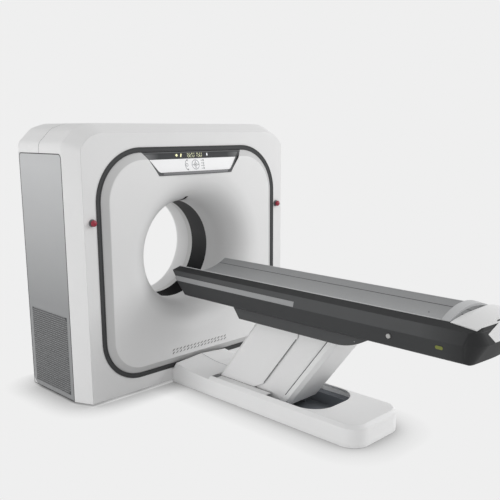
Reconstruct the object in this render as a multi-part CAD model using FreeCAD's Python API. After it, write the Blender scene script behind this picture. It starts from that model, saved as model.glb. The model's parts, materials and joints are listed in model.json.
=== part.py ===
import FreeCAD, Part
import math
import os

# Computed-tomography scanner: a ring-shaped gantry that scans through its bore,
# and a patient table on a parallelogram lift in front of it.
# Millimetres. +X is to the right seen from the table, +Y runs from the table
# through the bore, +Z is up. The origin is on the floor below the isocentre,
# which is where the bore's axis crosses the scan plane.

# ---- gantry, driving sizes ----
ISO_Z = 880.0               # height of the bore's axis
BORE_R = 350.0              # clear radius of the patient bore
HOUSING_HALF_W = 929.0
HOUSING_TOP_Z = 1757.0
HOUSING_BOTTOM_Z = 16.0
FRONT_Y = -366.0            # flat front face of the housing
FRONT_BEVEL_Y = -245.0      # where the front bevel starts
REAR_BEVEL_Y = 278.0        # where the rear bevel starts
REAR_Y = 328.0              # flat rear face of the housing
BEVEL_INSET = 56.0          # how far the front bevel draws in
REAR_BEVEL_INSET = 50.0
SEAM_Y = 16.0               # joint between the front and rear housings
SEAM_GAP = 0.6
HOUSING_WALL = 4.0
CORNER_DROP = 122.0         # side wall ends this far below the top
CORNER_STEP_X = 94.0        # steep step of the top corner
CORNER_STEP_Z = 92.0
CORNER_RUN_X = 100.0        # shallow step of the top corner
HOUSING_SIDE_R = 60.0       # corner radii of the front view, from the side up
HOUSING_STEP_R = 120.0
HOUSING_TOP_R = 180.0
PAST = 1.0                  # a cutter reaches this far past the face it opens
REACH = 40.0                # and this far where it ends in open air

# ---- covers round the bore ----
TRIM_HALF_W = HOUSING_HALF_W - 146.0
TRIM_TOP_Z = 1608.0
TRIM_BOTTOM_Z = 104.0
TRIM_TOP_R = 340.0
TRIM_BOTTOM_R = 290.0
TRIM_LEAST_R = 60.0         # tightest corner of anything drawn in from the trim ring
TRIM_W = 30.0
TRIM_PROUD = 3.0
TRIM_DEPTH = 24.0
COVER_GAP = 0.5             # parting gap between neighbouring covers
COVER_WALL = 5.0
BULGE = 30.0                # front cover stands this far off the front face
BULGE_DRAW = 50.0           # and draws in by this much on its way
FUNNEL_R = 600.0            # where the front funnel meets the flat of the cover
FUNNEL_DEPTH = 230.0
REAR_FUNNEL_R = 450.0
REAR_FUNNEL_DEPTH = 90.0
REAR_OPENING_IN = 24.0      # the rear opening is this much narrower than the trim ring
REAR_OPENING_RISE = 70.0    # and starts this much higher
REAR_OPENING_R = 200.0
REAR_LIP_DEPTH = 30.0
SCAN_HALF = 84.0            # half width of the dark scan window
WINDOW_WALL = 3.0
LINER_SEAM_Y = 130.0
LINER_LIP_H = 12.0
LINER_LIP_T = 6.0
VENT_COUNT = 16
VENT_PITCH = 32.0
VENT_ROW_PITCH = 20.0
VENT_Z = 226.0
VENT_L = 22.0
VENT_H = 6.0
VENT_LEAN = 35.0            # degrees
LASER_HALF_W = 36.0
LASER_FRONT_Y = -252.0
LASER_REAR_Y = -226.0

# ---- console over the bore ----
CONSOLE_TOP_Z = 1574.0
CONSOLE_BOTTOM_Z = 1424.0
CONSOLE_TOP_HALF = 432.0
CONSOLE_LOW_HALF = 318.0
CONSOLE_CORNER = 16.0
CONSOLE_FRAME_W = 9.0
CONSOLE_PROUD = 2.0         # the console's foot stands this far off the cover
DISPLAY_LOW_Z = 1528.0
DISPLAY_RECESS = 2.0
STOP_X = HOUSING_HALF_W - 113.0
STOP_Z = 1164.0
STOP_KNOB_R = 20.0
STOP_COLLAR_R = 24.0
STOP_KNOB_H = 20.0
STOP_STEM_R = 8.0
STOP_STEM_L = 44.0
STOP_BARREL_R = 14.0
STOP_BARREL_L = 40.0
STOP_BARREL_GAP = 0.2
STOP_COLLAR_H = 8.0
STOP_TRAVEL = 4.0
STOP_REST_GAP = 1.0         # left under the knob when it is pressed

# ---- side panels ----
PANEL_T = 3.0
PANEL_TOP_Z = 1576.0
PANEL_EDGE = 5.0            # housing flange left beside the panel
PANEL_GAP = 0.8
PANEL_TOP_R = 30.0
PANEL_VOID_DEPTH = 40.0     # room kept free of the housing behind a panel
HEEL_R = 72.0               # rounded lower rear corner of the gantry
HEEL_SLOPE_Y = REAR_Y + 5.0  # its slope above the rounding ends here
GRILLE_TOP_Z = 560.0
GRILLE_LOW_Z = 82.0
GRILLE_FRONT_Y = -190.0
GRILLE_REAR_Y = 232.0
GRILLE_R = 40.0
GRILLE_T = 2.0
GRILLE_BORDER = 12.0
SLOT_COLUMNS = 30
SLOT_ROWS = 4
SLOT_W = 5.0
SLOT_GAP = 14.0             # plain strip between two rows of slots
SLOT_LEAN = 14.0            # degrees from the upright, tops towards the table

# ---- gantry works ----
BEAM_TOP_Z = 110.0
BEAM_LOW_Z = 40.0
BEAM_W = 80.0
ANCHOR_X = HOUSING_HALF_W - 169.0
ANCHOR_Y = 190.0
ANCHOR_R = 9.0
FOOT_T = 12.0
FOOT_HALF_W = 70.0
FOOT_HALF_L = 50.0
ACCESS_HALF = 34.0          # square opening in the beams over each anchor
REAR_BEAM_SHIFT = 20.0      # the rear cross beam lies this far behind its anchors
FOOT_POST_IN = 30.0         # inner side of the post between a foot and its beam
FOOT_POST_FRONT = 30.0
FOOT_POST_REAR = 14.0
JACK_X = HOUSING_HALF_W - 57.0
JACK_R = 10.0
JACK_PAD_H = 14.0
COVER_ARM_X = 500.0         # arms that carry the front and rear covers
COVER_ARM_HALF = 20.0
COVER_ARM_LOW_Z = 60.0
COVER_ARM_TOP_Z = 96.0
REAR_POST_Y = 228.0
REAR_POST_T = 22.0
REAR_POST_TOP_Z = 170.0
REAR_POST_LOW_Z = 158.0
ROTOR_R = BORE_R + 392.0
ROTOR_BORE_R = BORE_R + 26.0
ROTOR_FRONT_Y = 90.0
ROTOR_T = 30.0
ROTOR_RIM_W = 24.0
ROTOR_HOLES = 12
ROTOR_HOLE_R = 45.0
BEARING_R = BORE_R + 82.0   # meeting radius of the bearing rings
BEARING_GAP = 0.3
BEARING_W = 45.0
BEARING_DEPTH = 50.0        # of the outer ring, ahead of the stator
BEARING_REAR_GAP = 10.0
BALL_IN = 30.0              # the balls run this far ahead of the stator
BALL_GROOVE_R = 8.0
STATOR_Y = 190.0
STATOR_T = 24.0
STATOR_BORE_R = ROTOR_BORE_R + 8.0
STATOR_LEG_X = ANCHOR_X - 60.0
STATOR_LEG_W = 220.0
STATOR_WAIST_X = BEARING_R + 188.0
STATOR_TOP_X = BEARING_R + 128.0
STATOR_WAIST_R = 60.0
STATOR_TOP_R = 120.0
STATOR_ARCH_R = 60.0
STATOR_ARCH_X = 300.0
STATOR_ARCH_Z = ISO_Z - 460.0
STATOR_WAIST_Z = ISO_Z - 180.0
STATOR_TOP_Z = ISO_Z + 450.0
STATOR_HOLE_R = 38.0
STATOR_HOLE_RING_R = STATOR_BORE_R + 165.0
STATOR_HOLE_ANGLES = (-12, 26, -39)
STATOR_RIM_W = 30.0
STATOR_RIM_T = 16.0
STATOR_RIB_T = 12.0
STATOR_RIB_D = 36.0
TRACK_COUNT = 5
TRACK_PITCH = 18.0
TRACK_W = 8.0
TRACK_IN = 106.0            # first track, measured in from the rotor's edge
TRACK_DEPTH = 5.0
SLIP_RING_T = 14.0
SLIP_RING_EDGE = 12.0       # outer edge, measured in from the rotor's edge
SLIP_RING_LAND = 6.0        # plain strip inside the first track
BRUSH_GAP = 0.3
BRUSH_L = 12.0
BRUSH_HALF_H = 12.0
BRUSH_BLOCK_HALF_H = 60.0
BRUSH_BLOCK_GAP = 4.0
BRUSH_ARM_HALF_H = 40.0
BRUSH_ARM_T = 24.0
BRUSH_ARM_LAP = 60.0
MOTOR_R = 78.0
MOTOR_FACE_Y = 72.0
MOTOR_LENGTH = 192.0
MOTOR_SHAFT_R = 14.0
MOTOR_SHAFT_L = 30.0        # of the shaft that lies inside the motor
TERMINAL_HALF_W = 40.0
TERMINAL_L = 90.0
TERMINAL_RISE = 22.0        # terminal box above the motor's barrel
SPIGOT_R = 24.0
BRACKET_T = 10.0
BRACKET_SIDE = 17.0         # bracket plate beside the motor
BRACKET_FOOT_L = 60.0
BRACKET_FOOT_DROP = 20.0    # top of the foot, below the beams' top
PULLEY_R = 60.0
PULLEY_SIDE = 2.0           # pulley beside the belt
PULLEY_CHEEK = 7.0
PULLEY_CHEEK_T = 4.0
PULLEY_DISTANCE = ROTOR_R + PULLEY_R + 73.0
PULLEY_Z = BEAM_TOP_Z + MOTOR_R + 22.0
BELT_T = 4.0
BELT_GAP = 0.3
BELT_W = 14.0
TUBE_R = 95.0
TUBE_CENTRE_R = BORE_R + 210.0
TUBE_FRONT_Y = -190.0
TUBE_PORT_H = 6.0
TUBE_PORT_HALF_W = 60.0
TUBE_PORT_HALF_L = 50.0
TUBE_CAP_L = 30.0
TUBE_CAP_DRAW = 25.0
TUBE_BAND_H = 8.0
TUBE_BAND_HALF_L = 12.0
TUBE_FOOT_OUT = 25.0
TUBE_FOOT_T = 14.0
TUBE_FOOT_HALF_H = 50.0
HORN_R = 26.0
HORN_Y = TUBE_FRONT_Y + 60.0
HORN_ROOT_X = 60.0
HORN_TIP_X = 130.0
HORN_RISE = 30.0
COLLIMATOR_FRONT_Y = -60.0
COLLIMATOR_TOP_HALF = 70.0
COLLIMATOR_LOW_HALF = 190.0
SLIT_TOP_HALF = 20.0
SLIT_LOW_HALF = 150.0
SLIT_HALF_L = 12.0
FOCUS_R = TUBE_CENTRE_R - 19.0
DETECTOR_FOCUS_R = FOCUS_R + BORE_R + 59.0
DETECTOR_T = 90.0
DETECTOR_HALF_ANGLE = 26.0
DETECTOR_FRONT_Y = -70.0
UNIT_R = TUBE_CENTRE_R      # middle of the boxes carried beside the tube
UNIT_ANGLE = 158.0          # degrees round the rotor
UNIT_L = 300.0
UNIT_T = 190.0
UNIT_FRONT_Y = -150.0
UNIT_LID_IN = 30.0          # lid smaller than the box
UNIT_LID_T = 12.0
COOLER_R = TUBE_CENTRE_R + 15.0
COOLER_ANGLE = 28.0
COOLER_L = 240.0
COOLER_T = 150.0
COOLER_FRONT_Y = -120.0
FIN_W = 190.0
FIN_L = 130.0
FIN_FRONT_Y = -110.0
WEIGHT_R = ROTOR_R - 132.0
WEIGHT_ANGLES = (200, -20)
WEIGHT_L = 170.0
WEIGHT_T = 120.0
FIN_COUNT = 9
FIN_PITCH = 26.0
FIN_T = 5.0
CABINET_OUT_X = HOUSING_HALF_W - 29.0
CABINET_FRONT_Y = -210.0
CABINET_REAR_Y = 180.0
CABINET_TOP_Z = BEAM_TOP_Z + 450.0
CABINET_CLEAR = 82.0        # between the cabinet's top corner and the rotor's sweep
LOUVRE_RISE = 90.0
LOUVRE_DEPTH = 5.0
LOUVRE_MARGIN = 60.0
LOUVRE_COUNT = 6
LOUVRE_PITCH = 50.0
LOUVRE_H = 12.0
FAN_R = 110.0
FAN_X = HOUSING_HALF_W - 159.0
FAN_Z = BEAM_TOP_Z + 210.0
FAN_HALF_T = 30.0
FAN_RIM = 12.0
FAN_HUB_R = 34.0
FAN_HUB_L = 12.0
FAN_BLADES = 7
FAN_BLADE_T = 3.0
FAN_BLADE_W = 26.0
FAN_BLADE_PITCH = 40.0      # degrees
FAN_TIP_GAP = 5.0
FAN_ROTOR_FRONT = 17.0
FAN_ROTOR_REAR = 20.0
FAN_ARM_COUNT = 3
FAN_ARM_W = 12.0
FAN_ARM_T = 6.0
AXLE_R = 5.0
AXLE_END = 8.0

# ---- table base ----
BASE_HALF_W = 229.0
BASE_FRONT_Y = -366.3
BASE_REAR_Y = -1936.0
BASE_TOP_Z = 130.0
BASE_CORNER_R = 110.0
BASE_RIM_CHAMFER = 20.0
BASE_WALL = 5.0
NOSE_RIDGE_Y = -406.0        # highest line of the ramp next to the gantry
NOSE_RIDGE_Z = 160.0
NOSE_EDGE_Z = 143.0
NOSE_DIP_Y = -548.0          # where the ramp's side edge is lowest
NOSE_DIP_Z = 136.0
NOSE_DIP_EDGE_Z = 119.0
NOSE_FRONT_Z = 88.0
NOSE_REAR_Y = -736.0
POCKET_HALF_W = 206.0
POCKET_REAR_Y = -1640.0
POCKET_R = 150.0
PLATE_T = 8.0
PLATE_HALF_W = 212.0
PLATE_FRONT_R = 10.0
CHANNEL_X = 170.0           # side channels on the floor plate
CHANNEL_T = 8.0
CHANNEL_TOP_Z = 78.0
GUSSET_HALF_L = 70.0
GUSSET_TOP_Z = 40.0
TABLE_ANCHOR_X = 150.0
TABLE_ANCHOR_FRONT_Y = NOSE_REAR_Y
TABLE_ANCHOR_REAR_Y = BASE_REAR_Y + 110.0
TABLE_ANCHOR_R = 7.0

# ---- table lift ----
ARM_LEAN = 38.0             # from the vertical at rest, away from the gantry
ARM_SPACING = 375.0
LEAN_LOWERED = 66.0
PIVOT_Z = 100.0
FRONT_PIVOT_Y = -836.0
PIN_R = 18.0
PIN_GAP = 0.05
SLIDE_GAP = 0.3
OPEN_PIN_GAP = 0.3          # the linkage is opened at the rear arm's top pin
ARM_HALF_W = 90.0
ARM_PLATE_T = 12.0
ARM_EYE_R = 34.0
ARM_BOSS_X = 98.0           # end of the bosses at an arm's eyes
ARM_SKIN_T = 6.0
ARM_SKIN_END = 70.0
ARM_TUBE_T = 9.0
PIN_HALF = 132.0
BRACKET_IN = 104.0
BRACKET_OUT = 118.0
BRACKET_R = 40.0
CRANK_R = 70.0
CRANK_PIN_R = 10.0
CRANK_GAP = 0.8
CRANK_IN = 18.0             # the two cheeks of the crank, from the middle
CRANK_OUT = 28.0
CRANK_EYE_R = 16.0
CRANK_ROOT_T = 12.0
CRANK_TIP_HALF = 15.0
CRANK_ROOT_HALF = 24.0
CRANK_MID = 5.0             # joint angle at which the crank hangs straight down
RAM_Z = 32.0
RAM_R = 22.0
RAM_ROD_R = 12.0
RAM_FRONT_Y = BASE_FRONT_Y - 60.0
RAM_REAR = 82.0             # ahead of the crank pin
RAM_MOTOR_L = 140.0
RAM_MOTOR_LOW_X = -70.0
RAM_MOTOR_HIGH_X = 30.0
RAM_MOTOR_LOW_Z = 4.0
RAM_MOTOR_TOP_Z = 66.0
RAM_MOUNT_HALF_W = 100.0
RAM_MOUNT_TOP_Z = 58.0
YOKE_HALF_W = 14.0
YOKE_HALF_L = 40.0
YOKE_TOP_Z = 54.0
ROD_REACH = 230.0
COLUMN_HALF_W = 150.0
COLUMN_WALL = 4.0
COLUMN_FRONT = 80.0         # front wall, ahead of the front arm's centre line
COLUMN_SEAM = 214.0         # rear edge of the front cover's sides
COLUMN_REAR = 129.0         # rear wall, behind the rear arm's centre line
COLUMN_STRIP = 54.0         # side strip of the rear cover
INNER_STEP = 8.0            # inner cover lies this far inside the outer ones
INNER_LAP = 76.0
COLUMN_EDGE = 22.0          # chamfer of the column's upright edges
COLUMN_TOP_R = 40.0         # rounded upper rear corner of the front cover
TIE_LOW = 230.0             # brackets that tie a cover to its arm, along the arm
TIE_HIGH = 470.0
TIE_W = 40.0
TIE_HALF = 60.0
SPACER_W = 40.0
COLUMN_FLOOR = 10.0         # lowest point of the covers with the table down

# ---- table top ----
TABLE_NOSE_Y = -426.0
TABLE_FOOT_Y = -2636.0
BODY_TOP_HALF = 208.0
BODY_TOP_Z = 826.0
SHOULDER_HALF = 255.0
SHOULDER_Z = BODY_TOP_Z - 21.0
WIDEST_HALF = 270.0
CREASE_Z = BODY_TOP_Z - 84.0
LOWER_HALF = 255.0
LOWER_Z = BODY_TOP_Z - 171.0
BODY_BOTTOM_HALF = 235.0
BODY_BOTTOM_Z = BODY_TOP_Z - 181.0
BODY_WALL = 5.0
FOOT_CORNER_R = 115.0       # seen from above, along the crease
FOOT_LOW_CORNER_R = 60.0
FOOT_LOW_DRAW = 46.0        # how far the foot's underside draws in
FOOT_TOP_DRAW = 22.0
FOOT_TOP_CORNER_R = 65.0
FOOT_BOW = 26.0             # the foot's middle stands this far behind its corners
FOOT_BOW_R = 900.0
BELLY_FRONT_Y = -986.0
BELLY_LOW_FRONT_Y = -1030.0
BELLY_LOW_Z = BODY_TOP_Z - 248.0
BELLY_TURN_Y = -1770.0
BELLY_REAR_Y = BELLY_TURN_Y - 230.0
BELLY_LOW_HALF = 230.0
BELLY_SLOT_HALF = 158.0
BELLY_SLOT_FRONT_Y = -700.0
BELLY_SLOT_REAR_Y = BELLY_TURN_Y - 27.0
NOSE_LOW_Y = -553.0          # raked nose, from the underside up
NOSE_FACE_Y = -534.0
NOSE_FACE_Z = BODY_TOP_Z - 154.0
NOSE_CHIN_Y = -466.0
NOSE_CHIN_Z = BODY_TOP_Z - 58.0
STRIPE_LOW_Z = CREASE_Z + 2.0
STRIPE_HIGH_Z = CREASE_Z + 31.0
STRIPE_FRONT_Y = -470.0
STRIPE_REAR_Y = -1505.0
STRIPE_T = 2.0

# ---- cradle ----
CRADLE_FRONT_Y = -444.0
CRADLE_REAR_Y = -2387.0
CRADLE_HALF_W = 206.0
CRADLE_EDGE_Z = BODY_TOP_Z + 2.0
CRADLE_CREASE_X = 150.0
CRADLE_CREASE_Z = CRADLE_EDGE_Z - 27.0
CRADLE_LOW_Z = CRADLE_EDGE_Z - 59.0
CRADLE_T = 12.0
HANDLE_W = 46.0
HANDLE_CROWN_Z = CRADLE_EDGE_Z + 53.0
HANDLE_T = 14.0
HANDLE_PLATE_LOW = 46.0      # underside of the handle's foot plate, below the rim
HANDLE_PLATE_T = 14.0
TAIL_FRONT_Y = CRADLE_REAR_Y - HANDLE_W - 5.0
TAIL_FRONT_HALF = 212.0
TAIL_FOOT_HALF = 240.0
TAIL_FOOT_DROP = 7.0          # the hood's edge runs down the shoulder towards the foot
TAIL_FRONT_CROWN = 17.0      # crown above the body's top, at the front edge
TAIL_CROWN = 50.0
TAIL_FOOT_CROWN = 26.0
TAIL_RISE = 60.0             # length of the hood's front slope
TAIL_WALL = 4.0
TAIL_SKIRT_HALF = 118.0
TAIL_SKIRT_SLOPE = 100.0
RAIL_X = 160.0
RAIL_W = 20.0
DECK_Z = BODY_TOP_Z - 120.0
DECK_T = 7.0
PIVOT_DROP = 51.2            # upper pivots below the deck
RAIL_H = 17.0
CARRIAGE_LENGTH = 300.0
CARRIAGE_LOW = 14.0          # gap between the deck and the carriage
SCREW_R = 8.0
SCREW_Z = DECK_Z + 34.0
MOTOR_Y = -2480.0            # front face of the cradle motor
DECK_FRONT_Y = -575.0
BUTTON_Y = -2136.0
BUTTON_Z = CREASE_Z - 35.0
BUTTON_R = 12.0
BUTTON_TRAVEL = 4.0

# ---- worked out from the sizes above ----
REAR_PIVOT_Y = FRONT_PIVOT_Y - ARM_SPACING
UPPER_PIVOT_Z = DECK_Z - PIVOT_DROP
UPPER_RISE = UPPER_PIVOT_Z - PIVOT_Z
UPPER_SHIFT = UPPER_RISE * math.tan(math.radians(ARM_LEAN))
ARM_LENGTH = UPPER_RISE / math.cos(math.radians(ARM_LEAN))
FRONT_WALL_LOW = -45.0      # ends of the column's walls, measured along the arms
INNER_WALL_LOW = -50.0
FRONT_WALL_HIGH = ARM_LENGTH - 95.0
SIDE_HIGH = ARM_LENGTH + 30.0
HOUSING_RADII = [0, 0, HOUSING_SIDE_R, HOUSING_STEP_R, HOUSING_TOP_R,
                 HOUSING_TOP_R, HOUSING_STEP_R, HOUSING_SIDE_R]

X_AXIS = FreeCAD.Vector(1, 0, 0)
Y_AXIS = FreeCAD.Vector(0, 1, 0)
Z_AXIS = FreeCAD.Vector(0, 0, 1)
ISO = FreeCAD.Vector(0, 0, ISO_Z)


# ---- helpers ----

def vec(x, y, z):
    return FreeCAD.Vector(x, y, z)


def box(x0, x1, y0, y1, z0, z1):
    """Block between two opposite corners."""
    low = vec(min(x0, x1), min(y0, y1), min(z0, z1))
    return Part.makeBox(abs(x1 - x0), abs(y1 - y0), abs(z1 - z0), low)


def rod(radius, start, end):
    """Round bar from one point to another."""
    return Part.makeCylinder(radius, (end - start).Length, start, end - start)


def pipe(outer_r, inner_r, start, end):
    """Round tube from one point to another."""
    return rod(outer_r, start, end).cut(rod(inner_r, start, end))


def ring_y(outer_r, inner_r, y0, y1):
    """Ring round the bore's axis."""
    return pipe(outer_r, inner_r, vec(0, y0, ISO_Z), vec(0, y1, ISO_Z))


def fuse(first, *others):
    """One solid from touching pieces, without leftover seams."""
    return first.multiFuse(list(others)).removeSplitter()


def mirror(shape):
    """The same piece on the other side of the middle plane."""
    return shape.mirror(vec(0, 0, 0), X_AXIS)


def pair(shape):
    return Part.makeCompound([shape, mirror(shape)])


def to_xz(y):
    """Places a flat point (u, v) in the plane across the bore at y."""
    return lambda u, v: vec(u, y, v)


def to_yz(x):
    return lambda u, v: vec(x, u, v)


def to_xy(z):
    return lambda u, v: vec(u, v, z)


def polygon(points, place):
    """Straight-sided closed wire."""
    corners = [place(u, v) for u, v in points]
    return Part.makePolygon(corners + corners[:1])


def rounded(points, radii, place):
    """Closed wire through points, each corner rounded by its own radius."""
    count = len(points)
    ends = []
    for i in range(count):
        px, py = points[i - 1]
        cx, cy = points[i]
        nx, ny = points[(i + 1) % count]
        back = math.hypot(px - cx, py - cy)
        ahead = math.hypot(nx - cx, ny - cy)
        a = ((px - cx) / back, (py - cy) / back)
        b = ((nx - cx) / ahead, (ny - cy) / ahead)
        half = math.acos(max(-1.0, min(1.0, a[0] * b[0] + a[1] * b[1]))) / 2
        reach = radii[i] / math.tan(half)
        bisector = (a[0] + b[0], a[1] + b[1])
        size = math.hypot(*bisector)
        depth = radii[i] / math.sin(half) - radii[i]
        start = (cx + a[0] * reach, cy + a[1] * reach)
        middle = (cx + bisector[0] / size * depth, cy + bisector[1] / size * depth)
        end = (cx + b[0] * reach, cy + b[1] * reach)
        ends.append((start, middle, end, radii[i] > 0))
    edges = []
    for i in range(count):
        start, middle, end, curved = ends[i]
        if curved:
            edges.append(Part.Arc(place(*start), place(*middle), place(*end)).toShape())
        following = ends[(i + 1) % count][0]
        if math.hypot(following[0] - end[0], following[1] - end[1]) > 1e-6:
            edges.append(Part.makeLine(place(*end), place(*following)))
    return Part.Wire(edges)


def inset(points, distances):
    """Closed outline with side i (from point i to the next) moved inwards."""
    count = len(points)
    lines = []
    for i in range(count):
        (x0, y0), (x1, y1) = points[i], points[(i + 1) % count]
        length = math.hypot(x1 - x0, y1 - y0)
        normal = (-(y1 - y0) / length, (x1 - x0) / length)
        offset = normal[0] * x0 + normal[1] * y0 + distances[i]
        lines.append((normal[0], normal[1], offset))
    result = []
    for i in range(count):
        a, b = lines[i - 1], lines[i]
        det = a[0] * b[1] - a[1] * b[0]
        x = (a[2] * b[1] - a[1] * b[2]) / det
        y = (a[0] * b[2] - a[2] * b[0]) / det
        result.append((x, y))
    return result


def prism(wire, direction):
    return Part.Face(wire).extrude(direction)


def loft(*wires):
    """Straight-ruled solid through closed wires."""
    return Part.makeLoft(list(wires), True, True)


def turned_up(points, place, base, axis, angle=360.0):
    """Solid of revolution of a straight-sided section."""
    return Part.Face(polygon(points, place)).revolve(base, axis, angle)


# ---- housing of the gantry ----

def housing_outline(draw, drop=0.0):
    """Front view of the housing, drawn in all round, its floor edge lowered by drop."""
    side = HOUSING_HALF_W
    step_x = side - CORNER_STEP_X
    run_x = step_x - CORNER_RUN_X
    side_z = HOUSING_TOP_Z - CORNER_DROP
    step_z = side_z + CORNER_STEP_Z
    points = [(-side, HOUSING_BOTTOM_Z), (side, HOUSING_BOTTOM_Z), (side, side_z),
              (step_x, step_z), (run_x, HOUSING_TOP_Z), (-run_x, HOUSING_TOP_Z),
              (-step_x, step_z), (-side, side_z)]
    return inset(points, [-drop] + [draw] * 7)


def housing_block(draw, drop, mid_y, bevel_y, face_y, bevel_inset):
    """Half of the housing as a solid block, from the seam to its flat face."""
    main = rounded(housing_outline(draw, drop), HOUSING_RADII, to_xz(mid_y))
    edge = rounded(housing_outline(draw, drop), HOUSING_RADII, to_xz(bevel_y))
    face = rounded(housing_outline(draw + bevel_inset, drop), HOUSING_RADII, to_xz(face_y))
    body = prism(main, vec(0, bevel_y - mid_y, 0))
    return body.fuse(loft(edge, face))


def trim_outline(draw, place):
    """Rounded opening of the housing face, drawn in by draw."""
    half = TRIM_HALF_W - draw
    top_r = max(TRIM_TOP_R - draw, TRIM_LEAST_R)
    low_r = max(TRIM_BOTTOM_R - draw, TRIM_LEAST_R)
    points = [(-half, TRIM_BOTTOM_Z + draw), (half, TRIM_BOTTOM_Z + draw),
              (half, TRIM_TOP_Z - draw), (-half, TRIM_TOP_Z - draw)]
    return rounded(points, [low_r, low_r, top_r, top_r], place)


def panel_outline(grow, place):
    """Side panel seen from the side, grown all round by grow."""
    front = FRONT_BEVEL_Y + PANEL_EDGE - grow
    rear = REAR_BEVEL_Y - PANEL_EDGE + grow
    low = HOUSING_BOTTOM_Z - grow
    top = PANEL_TOP_Z + grow
    points = [(front, low), (rear, low), (rear, top), (front, top)]
    radii = [0, HEEL_R, 0, PANEL_TOP_R]
    return rounded(points, radii, place)


def heel_cutter(draw):
    """What the rounded lower rear corner of the gantry takes away, drawn in by draw."""
    reach = HOUSING_HALF_W + REACH
    centre_y = REAR_BEVEL_Y - HEEL_R
    centre_z = HOUSING_BOTTOM_Z + HEEL_R
    corner = box(-reach, reach, centre_y, HEEL_SLOPE_Y, HOUSING_BOTTOM_Z - 2 * REACH, centre_z)
    keep = rod(HEEL_R - draw, vec(-reach, centre_y, centre_z), vec(reach, centre_y, centre_z))
    ramp = [(REAR_BEVEL_Y - draw, centre_z), (HEEL_SLOPE_Y, centre_z),
            (HEEL_SLOPE_Y, centre_z + HEEL_R + draw)]
    return corner.cut(keep).fuse(prism(polygon(ramp, to_yz(-reach)), vec(2 * reach, 0, 0)))


def panel_void():
    """Openings in the housing sides for the two panels."""
    reach = HOUSING_HALF_W + PAST
    deep = HOUSING_HALF_W - PANEL_VOID_DEPTH
    right = prism(panel_outline(PANEL_GAP, to_yz(deep)), vec(reach - deep, 0, 0))
    return [right, mirror(right)]


def front_housing_shell():
    outer = housing_block(0, 0, SEAM_Y - SEAM_GAP / 2, FRONT_BEVEL_Y, FRONT_Y, BEVEL_INSET)
    inner = housing_block(HOUSING_WALL, REACH, SEAM_Y + PAST, FRONT_BEVEL_Y,
                          FRONT_Y + HOUSING_WALL, BEVEL_INSET)
    shell = outer.cut(inner)
    opening = prism(trim_outline(-COVER_GAP, to_xz(FRONT_Y - PAST)), vec(0, TRIM_DEPTH, 0))
    stops = []
    for side in (-1, 1):
        hole = rod(STOP_BARREL_R, vec(side * STOP_X, FRONT_Y - PAST, STOP_Z),
                   vec(side * STOP_X, FRONT_Y + TRIM_DEPTH, STOP_Z))
        stops.append(hole)
    return shell.cut([opening] + stops + panel_void())


def rear_opening(draw, place):
    """Opening in the rear face, drawn in by draw."""
    half = TRIM_HALF_W - REAR_OPENING_IN - draw
    low = TRIM_BOTTOM_Z + REAR_OPENING_RISE + draw
    points = [(-half, low), (half, low), (half, TRIM_TOP_Z - draw), (-half, TRIM_TOP_Z - draw)]
    radius = REAR_OPENING_R - draw
    return rounded(points, [radius] * 4, place)


def rear_housing_shell():
    outer = housing_block(0, 0, SEAM_Y + SEAM_GAP / 2, REAR_BEVEL_Y, REAR_Y, REAR_BEVEL_INSET)
    inner = housing_block(HOUSING_WALL, REACH, SEAM_Y - PAST, REAR_BEVEL_Y,
                          REAR_Y - HOUSING_WALL, REAR_BEVEL_INSET)
    shell = outer.cut(heel_cutter(0)).cut(inner.cut(heel_cutter(HOUSING_WALL)))
    opening = prism(rear_opening(0, to_xz(REAR_Y - REACH)), vec(0, 2 * REACH, 0))
    return shell.cut([opening] + panel_void())


def grille_outline(shrink, place):
    points = [(GRILLE_FRONT_Y + shrink, GRILLE_LOW_Z + shrink),
              (GRILLE_REAR_Y - shrink, GRILLE_LOW_Z + shrink),
              (GRILLE_REAR_Y - shrink, GRILLE_TOP_Z - shrink),
              (GRILLE_FRONT_Y + shrink, GRILLE_TOP_Z - shrink)]
    return rounded(points, [GRILLE_R - shrink] * 4, place)


def side_panel():
    """Right-hand service panel, with the opening for its grille."""
    inside = HOUSING_HALF_W - PANEL_T
    plate = prism(panel_outline(0, to_yz(inside)), vec(PANEL_T, 0, 0))
    hole = prism(grille_outline(0, to_yz(inside - PAST)), vec(PANEL_T + 2 * PAST, 0, 0))
    return plate.cut(hole)


def side_grille():
    """Right-hand air grille: a plate with rows of leaning slots inside a plain border."""
    inside = HOUSING_HALF_W - PANEL_T
    plate = prism(grille_outline(COVER_GAP, to_yz(inside)), vec(GRILLE_T, 0, 0))
    pitch_y = (GRILLE_REAR_Y - GRILLE_FRONT_Y) / SLOT_COLUMNS
    row_h = (GRILLE_TOP_Z - GRILLE_LOW_Z - 2 * GRILLE_BORDER + SLOT_GAP) / SLOT_ROWS
    shift = math.tan(math.radians(SLOT_LEAN)) * (row_h - SLOT_GAP)
    spare = math.ceil(shift / pitch_y)
    slots = []
    for row in range(SLOT_ROWS):
        low = GRILLE_LOW_Z + GRILLE_BORDER + row * row_h
        high = low + row_h - SLOT_GAP
        for column in range(SLOT_COLUMNS + spare):
            y = GRILLE_FRONT_Y + (column + 0.5) * pitch_y
            bar = [(y, low), (y + SLOT_W, low), (y + SLOT_W - shift, high), (y - shift, high)]
            slots.append(prism(polygon(bar, to_yz(inside - PAST)), vec(GRILLE_T + 2 * PAST, 0, 0)))
    area = prism(grille_outline(GRILLE_BORDER, to_yz(inside - PAST)), vec(GRILLE_T + 2 * PAST, 0, 0))
    return plate.cut(Part.makeCompound(slots).common(area))


# ---- covers round the bore ----

def trim_ring():
    front = FRONT_Y - TRIM_PROUD
    outer = prism(trim_outline(0, to_xz(front)), vec(0, TRIM_DEPTH, 0))
    return outer.cut(prism(trim_outline(TRIM_W, to_xz(front - PAST)), vec(0, TRIM_DEPTH + 2 * PAST, 0)))


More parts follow.
